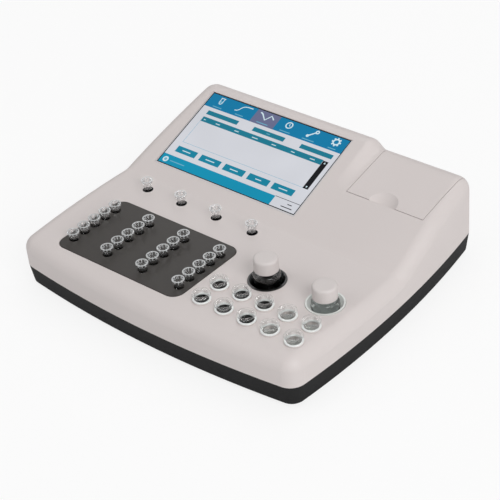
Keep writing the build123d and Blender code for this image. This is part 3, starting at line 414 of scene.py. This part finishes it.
def evaluated_copy(tree, start_mesh, values):
    """Run a tree once with its named inputs and give back the plain mesh."""
    maker = bpy.data.objects.new("Maker", start_mesh)
    bpy.context.scene.collection.objects.link(maker)
    modifier = maker.modifiers.new("Maker", "NODES")
    modifier.node_group = tree
    for item in tree.interface.items_tree:
        if item.in_out == "INPUT" and item.name in values:
            modifier[item.identifier] = values[item.name]
    graph = bpy.context.evaluated_depsgraph_get()
    mesh = bpy.data.meshes.new_from_object(maker.evaluated_get(graph))
    bpy.data.objects.remove(maker)
    # Where the start mesh has no material, the tree leaves an empty first slot
    if mesh.materials[0] is None:
        mesh.materials.pop(index=0)
    return mesh


def foot_of(node):
    """Middle of the underside of a CAD node's box."""
    low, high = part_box(node)
    return Vector(((low.x + high.x) / 2, (low.y + high.y) / 2, low.z))


CUVETTES = numbered("cuvette_{:02d}", 20)
MEASURING_CUVETTES = numbered("measuring_cuvette_{}", 4)
CUPS = numbered("reagent_cup_{:02d}", 10)


class ANALYZER_OT_shell(bpy.types.Operator):
    """Finish the housing, the printer lid, the base tray, the feet and the screws."""

    bl_idname = "analyzer.shell"
    bl_label = "Housing and base"

    def execute(self, context):
        colours = context.scene.analyzer_colours
        # ABS with a fine texture: pale and matte, so its rounds shade softly
        finish(moulded_plastic("ABS off-white fine texture", colours.housing,
                               roughness=0.52, grain=1.1 * MM, depth=0.012 * MM),
               "top_housing", "printer_lid")
        finish(moulded_plastic("ABS charcoal coarse texture", colours.base,
                               roughness=0.7, grain=1.4 * MM, depth=0.05 * MM, spread=0.08,
                               shine=0.25), "base_tray")
        finish(moulded_plastic("Rubber black moulded", linear("1D1D1E"),
                               roughness=0.8, grain=1.2 * MM, depth=0.05 * MM, spread=0.1),
               "rubber_feet")
        finish(worked_metal("Steel zinc plated", linear("A9ABAD"),
                            roughness=0.38, streak=0.6 * MM, along=2),
               "case_screws")
        return {"FINISHED"}


class ANALYZER_OT_wells(bpy.types.Operator):
    """Finish the incubator plate and the blocks and well rings that show round the vessels."""

    bl_idname = "analyzer.wells"
    bl_label = "Plate and wells"

    def execute(self, context):
        colours = context.scene.analyzer_colours
        finish(moulded_plastic("Polycarbonate dark satin", colours.mat,
                               roughness=0.42, grain=1.6 * MM, depth=0.01 * MM, spread=0.05,
                               shine=0.35), "incubator_mat")
        finish(worked_metal("Aluminium black anodised", linear("171718"),
                            roughness=0.5, streak=0.8 * MM, along=0),
               "incubator_block", "measuring_block", "heated_reagent_block")
        # The heated well's liner is black and glossy; the other rack is milky, with a painted glow
        # that lightens it
        finish(moulded_plastic("Polycarbonate black gloss", linear("0E0E0F"),
                               roughness=0.2, grain=4 * MM, depth=0.005 * MM, spread=0.05,
                               shine=0.4), "black_well_liner")
        finish(clear_moulding("Acrylic milky clear with painted glow", linear("D8DAD7"),
                              alpha=1.0, ior=1.49, roughness=0.08, clear=0.2, glow=0.1),
               "ambient_rack")
        # Thin black sleeves line the holes of the heated and the measuring wells: painted shade,
        # for the dark of the deep holes
        painted_shade = moulded_plastic("Painted well shade black satin", linear("0C0C0D"),
                                 roughness=0.4, grain=2 * MM, depth=0.005 * MM, spread=0.05,
                                 shine=0.3)
        reagent_radius, measuring_radius, thickness = 6.3 * MM, 4.65 * MM, 0.06 * MM
        mat_proud, lip, sunk, depth = 0.4 * MM, 0.75 * MM, 0.05 * MM, 14 * MM
        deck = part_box("incubator_mat")[1].z - mat_proud
        rack_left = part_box("ambient_rack")[0].x
        heated = [node for node in CUPS if foot_of(node).x < rack_left]
        tree = sleeve_tree()
        for name, nodes, radius, top in (
                ("reagent_shade_sleeves", heated, reagent_radius, deck + lip),
                ("measuring_shade_sleeves", MEASURING_CUVETTES, measuring_radius, deck - sunk)):
            length = top - deck + depth
            points = bpy.data.meshes.new(name)
            points.from_pydata([foot_of(node).xy.to_3d() + Vector((0, 0, top - length / 2))
                                for node in nodes], [], [])
            mesh = evaluated_copy(tree, points, {"Radius": radius, "Thickness": thickness,
                                                 "Length": length, "Material": painted_shade})
            piece = bpy.data.objects.new(name, mesh)
            context.scene.collection.objects.link(piece)
            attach(piece, "analyzer")
        return {"FINISHED"}


class Picture:
    """Flat shapes laid on the display, in millimetres from its top left corner."""

    def __init__(self, sizes):
        low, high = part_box("touch_glass")
        tilt = sizes.display_tilt
        self.right = Vector((1, 0, 0))
        self.up = Vector((0, math.cos(tilt), math.sin(tilt)))
        self.outward = Vector((0, -math.sin(tilt), math.cos(tilt)))
        self.middle = (low + high) / 2 + self.outward * sizes.glass_thickness / 2
        # The glass leans, so its box holds its height and its thickness at right angles
        diagonal = math.hypot(high.y - low.y, high.z - low.z)
        self.left = (high.x - low.x) / 2
        self.top = math.sqrt(diagonal ** 2 - sizes.glass_thickness ** 2) / 2
        self.step = sizes.picture_step
        self.bm = bmesh.new()

    def shape(self, points, layer, slot):
        """A thin closed plate with this outline, as thick as one layer."""
        below, above = [[self.bm.verts.new(self.middle + self.right * (x * MM - self.left)
                                           + self.up * (self.top - y * MM)
                                           + self.outward * self.step * level)
                         for x, y in points] for level in (layer - 1, layer)]
        faces = [self.bm.faces.new(above), self.bm.faces.new(below[::-1])]
        for corner in range(len(points)):
            faces.append(self.bm.faces.new((below[corner - 1], below[corner],
                                            above[corner], above[corner - 1])))
        for face in faces:
            face.material_index = slot

    def bar(self, left, top, right, bottom, layer, slot):
        """An upright rectangle."""
        self.shape(((left, top), (right, top), (right, bottom), (left, bottom)), layer, slot)

    def stroke(self, points, width, layer, slot):
        """A line of this width through the points."""
        half = width / 2
        sides = []
        for place, point in enumerate(points):
            before = Vector(points[max(place - 1, 0)])
            after = Vector(points[min(place + 1, len(points) - 1)])
            along = (after - before).normalized()
            sides.append((Vector(point), Vector((-along.y, along.x)) * half))
        for (start, start_side), (end, end_side) in zip(sides, sides[1:]):
            self.shape((start - start_side, end - end_side, end + end_side, start + start_side),
                       layer, slot)

    def ring(self, x, y, inner, outer, layer, slot, parts=28):
        """A ring between two radii."""
        turn = 2 * math.pi / parts
        for part in range(parts):
            first, last = turn * part, turn * (part + 1)
            self.shape([(x + radius * math.cos(angle), y + radius * math.sin(angle))
                        for radius, angle in ((inner, first), (outer, first),
                                              (outer, last), (inner, last))], layer, slot)

    def disc(self, x, y, radius, layer, slot, parts=24):
        """A filled circle."""
        turn = 2 * math.pi / parts
        self.shape([(x + radius * math.cos(turn * part), y + radius * math.sin(turn * part))
                    for part in range(parts)], layer, slot)


class ANALYZER_OT_display(bpy.types.Operator):
    """Lay the lit picture on the display: bars, icons, fields, a table and buttons."""

    bl_idname = "analyzer.display"
    bl_label = "Display"

    def execute(self, context):
        colours = context.scene.analyzer_colours
        finish(moulded_plastic("Cover glass pale printed gloss", colours.bezel,
                               roughness=0.14, grain=5 * MM, depth=0.002 * MM, spread=0.01),
               "touch_glass")
        finish(worked_metal("Steel sheet satin", linear("74787C"),
                            roughness=0.4, streak=0.7 * MM, along=0), "lcd_panel")
        ground, bar, tile, field, button, status, ink, line, faint = range(9)
        picture = Picture(context.scene.analyzer_sizes)
        # Dark line round the picture, then its pale ground
        picture.bar(0.8, 0.8, 155.7, 87.8, 1, line)
        picture.bar(1.8, 1.8, 154.9, 86.9, 2, ground)
        # Title bar with six places, the third one chosen
        picture.bar(1.8, 1.8, 154.9, 17.0, 3, bar)
        picture.bar(54.4, 1.8, 80.4, 17.0, 4, tile)
        for middle, half in ((15.2, 5.0), (40.8, 4.6), (67.4, 6.2), (92.8, 5.6), (118.4, 6.4),
                             (144.0, 4.0)):
            picture.bar(middle - half, 14.5, middle + half, 15.3, 5, faint)
        # Icons: tube, rising curve, zigzag, dial, spanner and cog
        picture.stroke(((13.5, 4.2), (13.5, 9.2), (14.1, 10.5), (15.2, 11.0), (16.3, 10.5),
                        (16.9, 9.2), (16.9, 4.2)), 0.75, 5, ink)
        picture.bar(12.6, 3.7, 17.8, 4.5, 6, ink)
        picture.bar(14.0, 7.2, 16.4, 10.0, 5, faint)
        picture.stroke(((33.0, 11.2), (35.2, 10.9), (36.8, 9.7), (38.0, 7.7), (39.3, 5.7),
                        (41.2, 4.6), (44.4, 4.1), (49.6, 4.0)), 0.95, 5, ink)
        picture.stroke(((58.8, 4.2), (61.6, 5.4), (67.2, 10.8), (71.4, 4.4), (75.4, 7.8)),
                       1.3, 5, ink)
        picture.ring(92.8, 7.4, 2.6, 3.7, 5, ink)
        picture.stroke(((92.8, 7.4), (92.8, 5.4)), 0.6, 5, ink)
        picture.stroke(((92.8, 7.4), (94.3, 8.2)), 0.6, 6, ink)
        picture.stroke(((115.6, 10.6), (121.4, 4.9)), 1.3, 5, ink)
        picture.disc(115.2, 10.9, 1.5, 6, ink)
        picture.ring(122.0, 4.5, 0.8, 2.0, 6, ink)
        picture.ring(144.0, 7.4, 2.2, 3.6, 5, ink)
        for tooth in range(8):
            angle = math.pi * tooth / 4
            picture.stroke([(144.0 + reach * math.cos(angle), 7.4 + reach * math.sin(angle))
                            for reach in (3.4, 4.7)], 1.5, 6, ink)
        # Three fields, then the table with its head, its thin frame and its scroll bar
        for left, right in ((10.0, 45.8), (63.3, 98.3), (116.0, 150.6)):
            picture.bar(left, 20.6, right, 25.2, 3, field)
        picture.bar(78.4, 22.6, 82.4, 23.3, 4, faint)
        picture.bar(10.0, 28.3, 145.2, 33.8, 3, field)
        for middle, half in ((13.4, 1.1), (28.8, 2.4), (50.6, 2.4), (71.6, 3.2), (92.8, 2.4),
                             (113.8, 2.0), (135.0, 2.6)):
            picture.bar(middle - half, 30.9, middle + half, 31.7, 4, ink)
        for left, top, right, bottom in ((10.0, 33.8, 10.3, 60.4), (10.0, 60.1, 145.4, 60.4)):
            picture.bar(left, top, right, bottom, 3, faint)
        picture.bar(145.4, 28.8, 150.8, 60.6, 4, line)
        picture.shape(((147.1, 31.8), (148.1, 29.9), (149.1, 31.8)), 5, ink)
        picture.shape(((147.1, 57.6), (148.1, 59.5), (149.1, 57.6)), 5, ink)
        # Five buttons with a short mark each
        for left, mark in ((9.8, 4.6), (37.3, 5.0), (64.7, 4.4), (92.0, 3.2), (119.0, 4.6)):
            picture.bar(left, 65.3, left + 22.8, 72.1, 3, button)
            picture.bar(left + 11.4 - mark, 68.3, left + 11.4 + mark, 69.2, 4, ink)
        # Status bar with a round lamp, and a pale box at its right
        picture.bar(1.8, 77.0, 154.9, 86.9, 3, status)
        picture.disc(7.5, 82.5, 2.9, 4, ink)
        picture.disc(7.5, 82.5, 1.5, 5, faint)
        picture.bar(12.6, 82.1, 29.5, 83.0, 4, faint)
        picture.bar(128.4, 77.0, 154.9, 86.9, 4, ground)
        picture.bar(128.4, 76.6, 154.9, 77.1, 5, line)
        picture.bar(143.8, 80.1, 148.4, 80.9, 5, line)
        picture.bar(139.0, 83.6, 150.6, 84.4, 5, line)
        mesh = bpy.data.meshes.new("display_picture")
        bmesh.ops.recalc_face_normals(picture.bm, faces=picture.bm.faces)
        picture.bm.to_mesh(mesh)
        picture.bm.free()
        for name, colour in (("ground", colours.paper), ("title bar", colours.bar),
                             ("chosen tile", colours.tile), ("field", colours.field),
                             ("button", colours.button), ("status bar", colours.status),
                             ("mark", colours.ink), ("line", linear("17181C")),
                             ("faint mark", linear("6FB4CE"))):
            mesh.materials.append(lit_picture("Lit display " + name, colour))
        piece = bpy.data.objects.new("display_picture", mesh)
        context.scene.collection.objects.link(piece)
        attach(piece, "analyzer")
        return {"FINISHED"}


class ANALYZER_OT_cuvettes(bpy.types.Operator):
    """Make the clear cuvettes with ribbed mouths, in the incubator and over the measuring wells."""

    bl_idname = "analyzer.cuvettes"
    bl_label = "Cuvettes"

    def execute(self, context):
        sizes = context.scene.analyzer_sizes
        low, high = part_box("cuvette_01")
        length, rim = high.z - low.z, (high.x - low.x) / 2
        tip, neck, bore, funnel = 3.2 * MM, 3.7 * MM, 2.75 * MM, 2.6 * MM
        wall, flange, mouth = 0.9 * MM, 2.0 * MM, 4.3 * MM
        edge, foot_edge, highlight_band = 0.35 * MM, 0.8 * MM, 0.8 * MM
        profile = [(0, 0)]
        profile += rounded((0, 0), (tip, 0), (neck, length), foot_edge)
        profile += [(neck, length - 2 * flange)]
        profile += rounded((neck, length - 2 * flange), (rim, length - flange), (rim, length), edge)
        profile += rounded((rim, length - flange), (rim, length), (mouth, length), edge)
        profile += rounded((rim, length), (mouth, length), (bore, length - funnel), edge)
        profile += [(bore, length - funnel), (tip - wall, wall * 2), (0, wall)]
        # The top band of the rim and the ribs take a whiter, less clear copy of the plastic: a
        # painted highlight
        body = revolved("Cuvette body", profile, 40, glow=(length - highlight_band, length + edge))
        tree = ribbed_tree()
        clear = clear_moulding("Polystyrene clear moulded", linear("F4F6F7"),
                               alpha=0.3, ior=1.59, roughness=0.01)
        painted_highlight_rim = clear_moulding("Polystyrene clear rim painted highlight", linear("E4E6E7"),
                                 alpha=0.9, ior=1.59, roughness=0.08, clear=0.35)
        rib_height = 2.4 * MM
        for node in CUVETTES + MEASURING_CUVETTES:
            mesh = evaluated_copy(tree, body, {
                "Rib Count": sizes.rib_count,
                "Rib Circle": mouth - sizes.rib_reach / 2,
                "Rib Size": (sizes.rib_reach, sizes.rib_width, rib_height),
                "Rib Height": length - edge - rib_height / 2,
                "Place": foot_of(node),
                "Wall": clear,
                "Rib": painted_highlight_rim,
                "Rim": painted_highlight_rim,
            })
            new_piece("clear_" + node, mesh, node, "cuvette", node)
        return {"FINISHED"}


class ANALYZER_OT_cups(bpy.types.Operator):
    """Make the clear reagent cups with their wide rims and centring fins."""

    bl_idname = "analyzer.cups"
    bl_label = "Reagent cups"

    def execute(self, context):
        sizes = context.scene.analyzer_sizes
        low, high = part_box("reagent_cup_01")
        length, rim = high.z - low.z, (high.x - low.x) / 2
        tip, neck, wall, flange, floor = 5.5 * MM, 6.0 * MM, 0.8 * MM, 1.2 * MM, 1.4 * MM
        edge, foot_edge, draft = 0.4 * MM, 1.2 * MM, 0.05 * MM
        # The collar that rests on the well's lip takes a whiter, less clear copy of the plastic: a
        # painted highlight all round
        collar, seat, rest = 7.6 * MM, 21.25 * MM, 1.0 * MM
        profile = [(0, 0)]
        profile += rounded((0, 0), (tip, 0), (neck, length), foot_edge)
        profile += [(neck - draft, seat)]
        profile += rounded((neck, seat), (collar, seat), (collar, seat + rest), edge)
        profile += rounded((collar, seat), (collar, seat + rest), (neck, seat + rest), edge)
        profile += [(neck, seat + rest), (neck, length - flange - edge)]
        profile += rounded((neck, length - flange), (rim, length - flange), (rim, length), edge)
        profile += rounded((rim, length - flange), (rim, length), (neck, length), edge)
        profile += rounded((rim, length), (neck - wall, length), (tip - wall, floor), edge)
        profile += rounded((neck, length), (tip - wall, floor), (0, floor), foot_edge)
        profile += [(0, floor)]
        body = revolved("Cup body", profile, 48, glow=(seat - edge, seat + rest + edge))
        tree = ribbed_tree()
        clear = clear_moulding("Acrylic clear moulded", linear("F2F4F2"),
                               alpha=0.3, ior=1.49, roughness=0.01)
        painted_highlight_collar = clear_moulding("Acrylic clear collar painted highlight", linear("EDEFEE"),
                                    alpha=1.0, ior=1.49, roughness=0.1, clear=0.2)
        fin_reach, fin_thickness, fin_length = 0.5 * MM, 0.7 * MM, 9 * MM
        for node in CUPS:
            mesh = evaluated_copy(tree, body, {
                "Rib Count": sizes.fin_count,
                "Rib Circle": neck,
                "Rib Size": (fin_reach, fin_thickness, fin_length),
                "Rib Height": seat - edge - fin_length / 2,
                "Place": foot_of(node),
                "Wall": clear,
                "Rib": clear,
                "Rim": painted_highlight_collar,
            })
            new_piece("clear_" + node, mesh, node, "cup", node)
        return {"FINISHED"}


class ANALYZER_OT_vials(bpy.types.Operator):
    """Make the two glass reagent vials and their white screw caps."""

    bl_idname = "analyzer.vials"
    bl_label = "Vials and caps"

    def execute(self, context):
        colours = context.scene.analyzer_colours
        glass = clear_moulding("Borosilicate glass clear", linear("EEF2F2"),
                               alpha=0.85, ior=1.47, roughness=0.0)
        white = moulded_plastic("Polypropylene white satin", colours.cap,
                                roughness=0.5, grain=1.5 * MM, depth=0.01 * MM, spread=0.01)
        radius, wall, shoulder, neck, mouth = 11.2 * MM, 1.2 * MM, 28.2 * MM, 7.2 * MM, 8.6 * MM
        rise, lip, height, foot_edge = 2.3 * MM, 3.4 * MM, 41.3 * MM, 1.5 * MM
        cap_wall, cap_roof, skirt_edge, top_edge = 1.0 * MM, 1.2 * MM, 0.3 * MM, 2.6 * MM
        outer = [(0, 0)]
        outer += rounded((0, 0), (radius, 0), (radius, height), foot_edge)
        outer += rounded((radius, 0), (radius, shoulder), (neck, shoulder + rise), 2.0 * MM)
        outer += rounded((radius, shoulder), (neck, shoulder + rise), (neck, height), 1.0 * MM)
        outer += [(neck, height - lip), (mouth, height - lip)]
        outer += rounded((mouth, height - lip), (mouth, height), (neck, height), 0.6 * MM)
        inner = [(neck - wall, height), (neck - wall, shoulder + rise)]
        inner += rounded((neck - wall, height), (radius - wall, shoulder - wall),
                         (radius - wall, 0), foot_edge)
        inner += rounded((radius - wall, height), (radius - wall, wall), (0, wall), foot_edge)
        inner += [(0, wall)]
        for node in ("heated_vial", "ambient_vial"):
            mesh = revolved("glass_" + node, outer + inner, 64)
            mesh.materials.append(glass)
            mesh.transform(Matrix.Translation(foot_of(node)))
            new_piece("glass_" + node, mesh, node, "vial", node)
            cap = node + "_cap"
            low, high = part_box(cap)
            wide, tall = (high.x - low.x) / 2, high.z - low.z
            hollow, top = wide - cap_wall, tall - cap_roof
            shape = [(0, top), (hollow, top), (hollow, 0)]
            shape += rounded((hollow, 0), (wide, 0), (wide, tall), skirt_edge)
            shape += rounded((wide, 0), (wide, tall), (0, tall), top_edge, 8)
            shape += [(0, tall)]
            mesh = revolved("white_" + cap, shape, 64, 50)
            mesh.materials.append(white)
            mesh.transform(Matrix.Translation(foot_of(cap)))
            new_piece("white_" + cap, mesh, cap, "cap", cap)
        return {"FINISHED"}


class ANALYZER_OT_printer(bpy.types.Operator):
    """Finish the paper bucket, the print head, the rollers, the hinge pin and the paper."""

    bl_idname = "analyzer.printer"
    bl_label = "Printer"

    def execute(self, context):
        finish(moulded_plastic("ABS light grey moulded", linear("C6C2C0"),
                               roughness=0.5, grain=1.2 * MM, depth=0.02 * MM), "paper_bucket")
        finish(worked_metal("Aluminium satin", linear("9A9DA0"),
                            roughness=0.35, streak=0.7 * MM, along=0),
               "thermal_print_head")
        finish(worked_metal("Steel ground", linear("B4B6B8"),
                            roughness=0.25, streak=0.5 * MM, along=0),
               "lid_hinge_pin")
        finish(moulded_plastic("Rubber ground grey", linear("2A2B2E"),
                               roughness=0.65, grain=0.9 * MM, depth=0.03 * MM, spread=0.06),
               "platen_roller")
        finish(rolled_paper("Paper thermal uncoated"), "paper_roll")
        return {"FINISHED"}


class ANALYZER_OT_electronics(bpy.types.Operator):
    """Finish the boards inside, the power inlet and the rocker switch."""

    bl_idname = "analyzer.electronics"
    bl_label = "Electronics and power"

    def execute(self, context):
        # Parts stand on the main board; the optics boards are bare
        board, clear = 1.65 * MM, 1 * MM
        finish(circuit_board("Epoxy board green mask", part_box("main_board")[0].z + board),
               "main_board")
        finish(circuit_board("Epoxy board green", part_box("optics_boards")[1].z + clear),
               "optics_boards")
        finish(moulded_plastic("Polyamide black satin", linear("1B1B1C"),
                               roughness=0.45, grain=1.2 * MM, depth=0.03 * MM, spread=0.05),
               "power_inlet")
        finish(moulded_plastic("Polycarbonate black polished", linear("111112"),
                               roughness=0.22, grain=3 * MM, depth=0.005 * MM, spread=0.04),
               "power_rocker")
        return {"FINISHED"}


def seen_directly(tree):
    """1 for rays from the camera or through clear pieces, and 0 for rays that only light."""
    path = add_node(tree, "ShaderNodeLightPath").outputs
    return add_node(tree, "ShaderNodeMath", {"operation": "MAXIMUM"},
                    {0: path["Is Camera Ray"], 1: path["Is Transmission Ray"]}).outputs[0]


class ANALYZER_OT_stage(bpy.types.Operator):
    """Set the pale floor, the white surroundings, the soft lamps and the camera."""

    bl_idname = "analyzer.stage"
    bl_label = "Studio"

    def execute(self, context):
        scene = context.scene
        scene.view_settings.view_transform = "Standard"
        world = bpy.data.worlds.new("Studio")
        world.use_nodes = True
        tree = world.node_tree
        tree.nodes.clear()
        seen = seen_directly(tree)
        strength = add_node(tree, "ShaderNodeMapRange", {3: 0.45, 4: 1.0},
                            {"Value": seen})
        glow = add_node(tree, "ShaderNodeBackground", {"Color": (1.0, 1.0, 1.0, 1.0)},
                        {"Strength": strength.outputs["Result"]})
        add_node(tree, "ShaderNodeOutputWorld", links={"Surface": glow.outputs["Background"]})
        scene.world = world

        floor_mesh = bpy.data.meshes.new("floor")
        reach = 8.0
        floor_mesh.from_pydata([(-reach, -reach, 0), (reach, -reach, 0), (reach, reach, 0),
                                (-reach, reach, 0)], [], [(0, 1, 2, 3)])
        floor = bpy.data.objects.new("floor", floor_mesh)
        scene.collection.objects.link(floor)
        material = bpy.data.materials.new("Paper sweep white")
        material.use_nodes = True
        tree = material.node_tree
        tree.nodes.clear()
        matte = add_node(tree, "ShaderNodeBsdfDiffuse", {"Color": (0.86, 0.86, 0.86, 1.0)})
        white = add_node(tree, "ShaderNodeEmission",
                         {"Color": (1.0, 1.0, 1.0, 1.0), "Strength": 1.0})
        share = add_node(tree, "ShaderNodeMath", {"operation": "MULTIPLY", 1: 0.82},
                         {0: seen_directly(tree)})
        mixed = add_node(tree, "ShaderNodeMixShader",
                         links={0: share.outputs[0], 1: matte.outputs[0], 2: white.outputs[0]})
        add_node(tree, "ShaderNodeOutputMaterial", links={"Surface": mixed.outputs[0]})
        floor_mesh.materials.append(material)
        floor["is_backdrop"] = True

        low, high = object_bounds()
        middle = (Vector(low) + Vector(high)) / 2
        for name, place, size, energy in (
                ("Key softbox", (3.2, -1.2, 2.2), 2.4, 84.0),
                ("Fill softbox", (-0.9, -1.1, 1.5), 1.4, 5.0),
                ("Top softbox", (0.2, 0.9, 1.9), 1.4, 7.0),
                ("Rim softbox", (-1.1, 1.2, 1.15), 0.6, 2.0)):
            data = bpy.data.lights.new(name, "AREA")
            data.size = size
            data.energy = energy
            lamp = bpy.data.objects.new(name, data)
            lamp.location = place
            lamp.rotation_euler = (middle - Vector(place)).to_track_quat("-Z", "Y").to_euler()
            scene.collection.objects.link(lamp)

        # The camera stands where a fit to the photograph puts it
        stand = (0.7125, -0.7588, 0.7533)
        azimuth, elevation, roll = math.radians(43.07), math.radians(35.14), math.radians(-5.37)
        back = Vector((math.sin(azimuth) * math.cos(elevation),
                       -math.cos(azimuth) * math.cos(elevation), math.sin(elevation)))
        right = (-back).cross(Vector((0, 0, 1))).normalized()
        up = right.cross(-back)
        tilted_right = right * math.cos(roll) + up * math.sin(roll)
        tilted_up = up * math.cos(roll) - right * math.sin(roll)
        data = bpy.data.cameras.new("Camera")
        data.sensor_width = 36.0
        data.lens = scene.analyzer_sizes.lens
        camera = bpy.data.objects.new("Camera", data)
        turn = Matrix((tilted_right, tilted_up, back)).transposed()
        camera.matrix_world = Matrix.Translation(stand) @ turn.to_4x4()
        scene.collection.objects.link(camera)
        scene.camera = camera
        return {"FINISHED"}


OPERATORS = (ANALYZER_OT_shell, ANALYZER_OT_wells, ANALYZER_OT_display, ANALYZER_OT_cuvettes,
             ANALYZER_OT_cups, ANALYZER_OT_vials, ANALYZER_OT_printer, ANALYZER_OT_electronics,
             ANALYZER_OT_stage)


class ANALYZER_PT_panel(bpy.types.Panel):
    """Colours, sizes and pieces of the analyzer."""

    bl_idname = "ANALYZER_PT_panel"
    bl_label = "Coagulation Analyzer"
    bl_space_type = "VIEW_3D"
    bl_region_type = "UI"
    bl_category = "Analyzer"

    def draw(self, context):
        layout = self.layout
        for group in (context.scene.analyzer_colours, context.scene.analyzer_sizes):
            column = layout.column()
            for name in group.__annotations__:
                column.prop(group, name)
        for operator in OPERATORS:
            layout.operator(operator.bl_idname)


CLASSES = (AnalyzerColours, AnalyzerSizes) + OPERATORS + (ANALYZER_PT_panel,)


def register():
    for item in CLASSES:
        bpy.utils.register_class(item)
    bpy.types.Scene.analyzer_colours = PointerProperty(type=AnalyzerColours)
    bpy.types.Scene.analyzer_sizes = PointerProperty(type=AnalyzerSizes)


def unregister():
    del bpy.types.Scene.analyzer_colours
    del bpy.types.Scene.analyzer_sizes
    for item in reversed(CLASSES):
        bpy.utils.unregister_class(item)


def main():
    register()
    for operator in OPERATORS:
        name = operator.bl_idname.split(".")[1]
        getattr(bpy.ops.analyzer, name)()


if __name__ == "__main__":
    main()
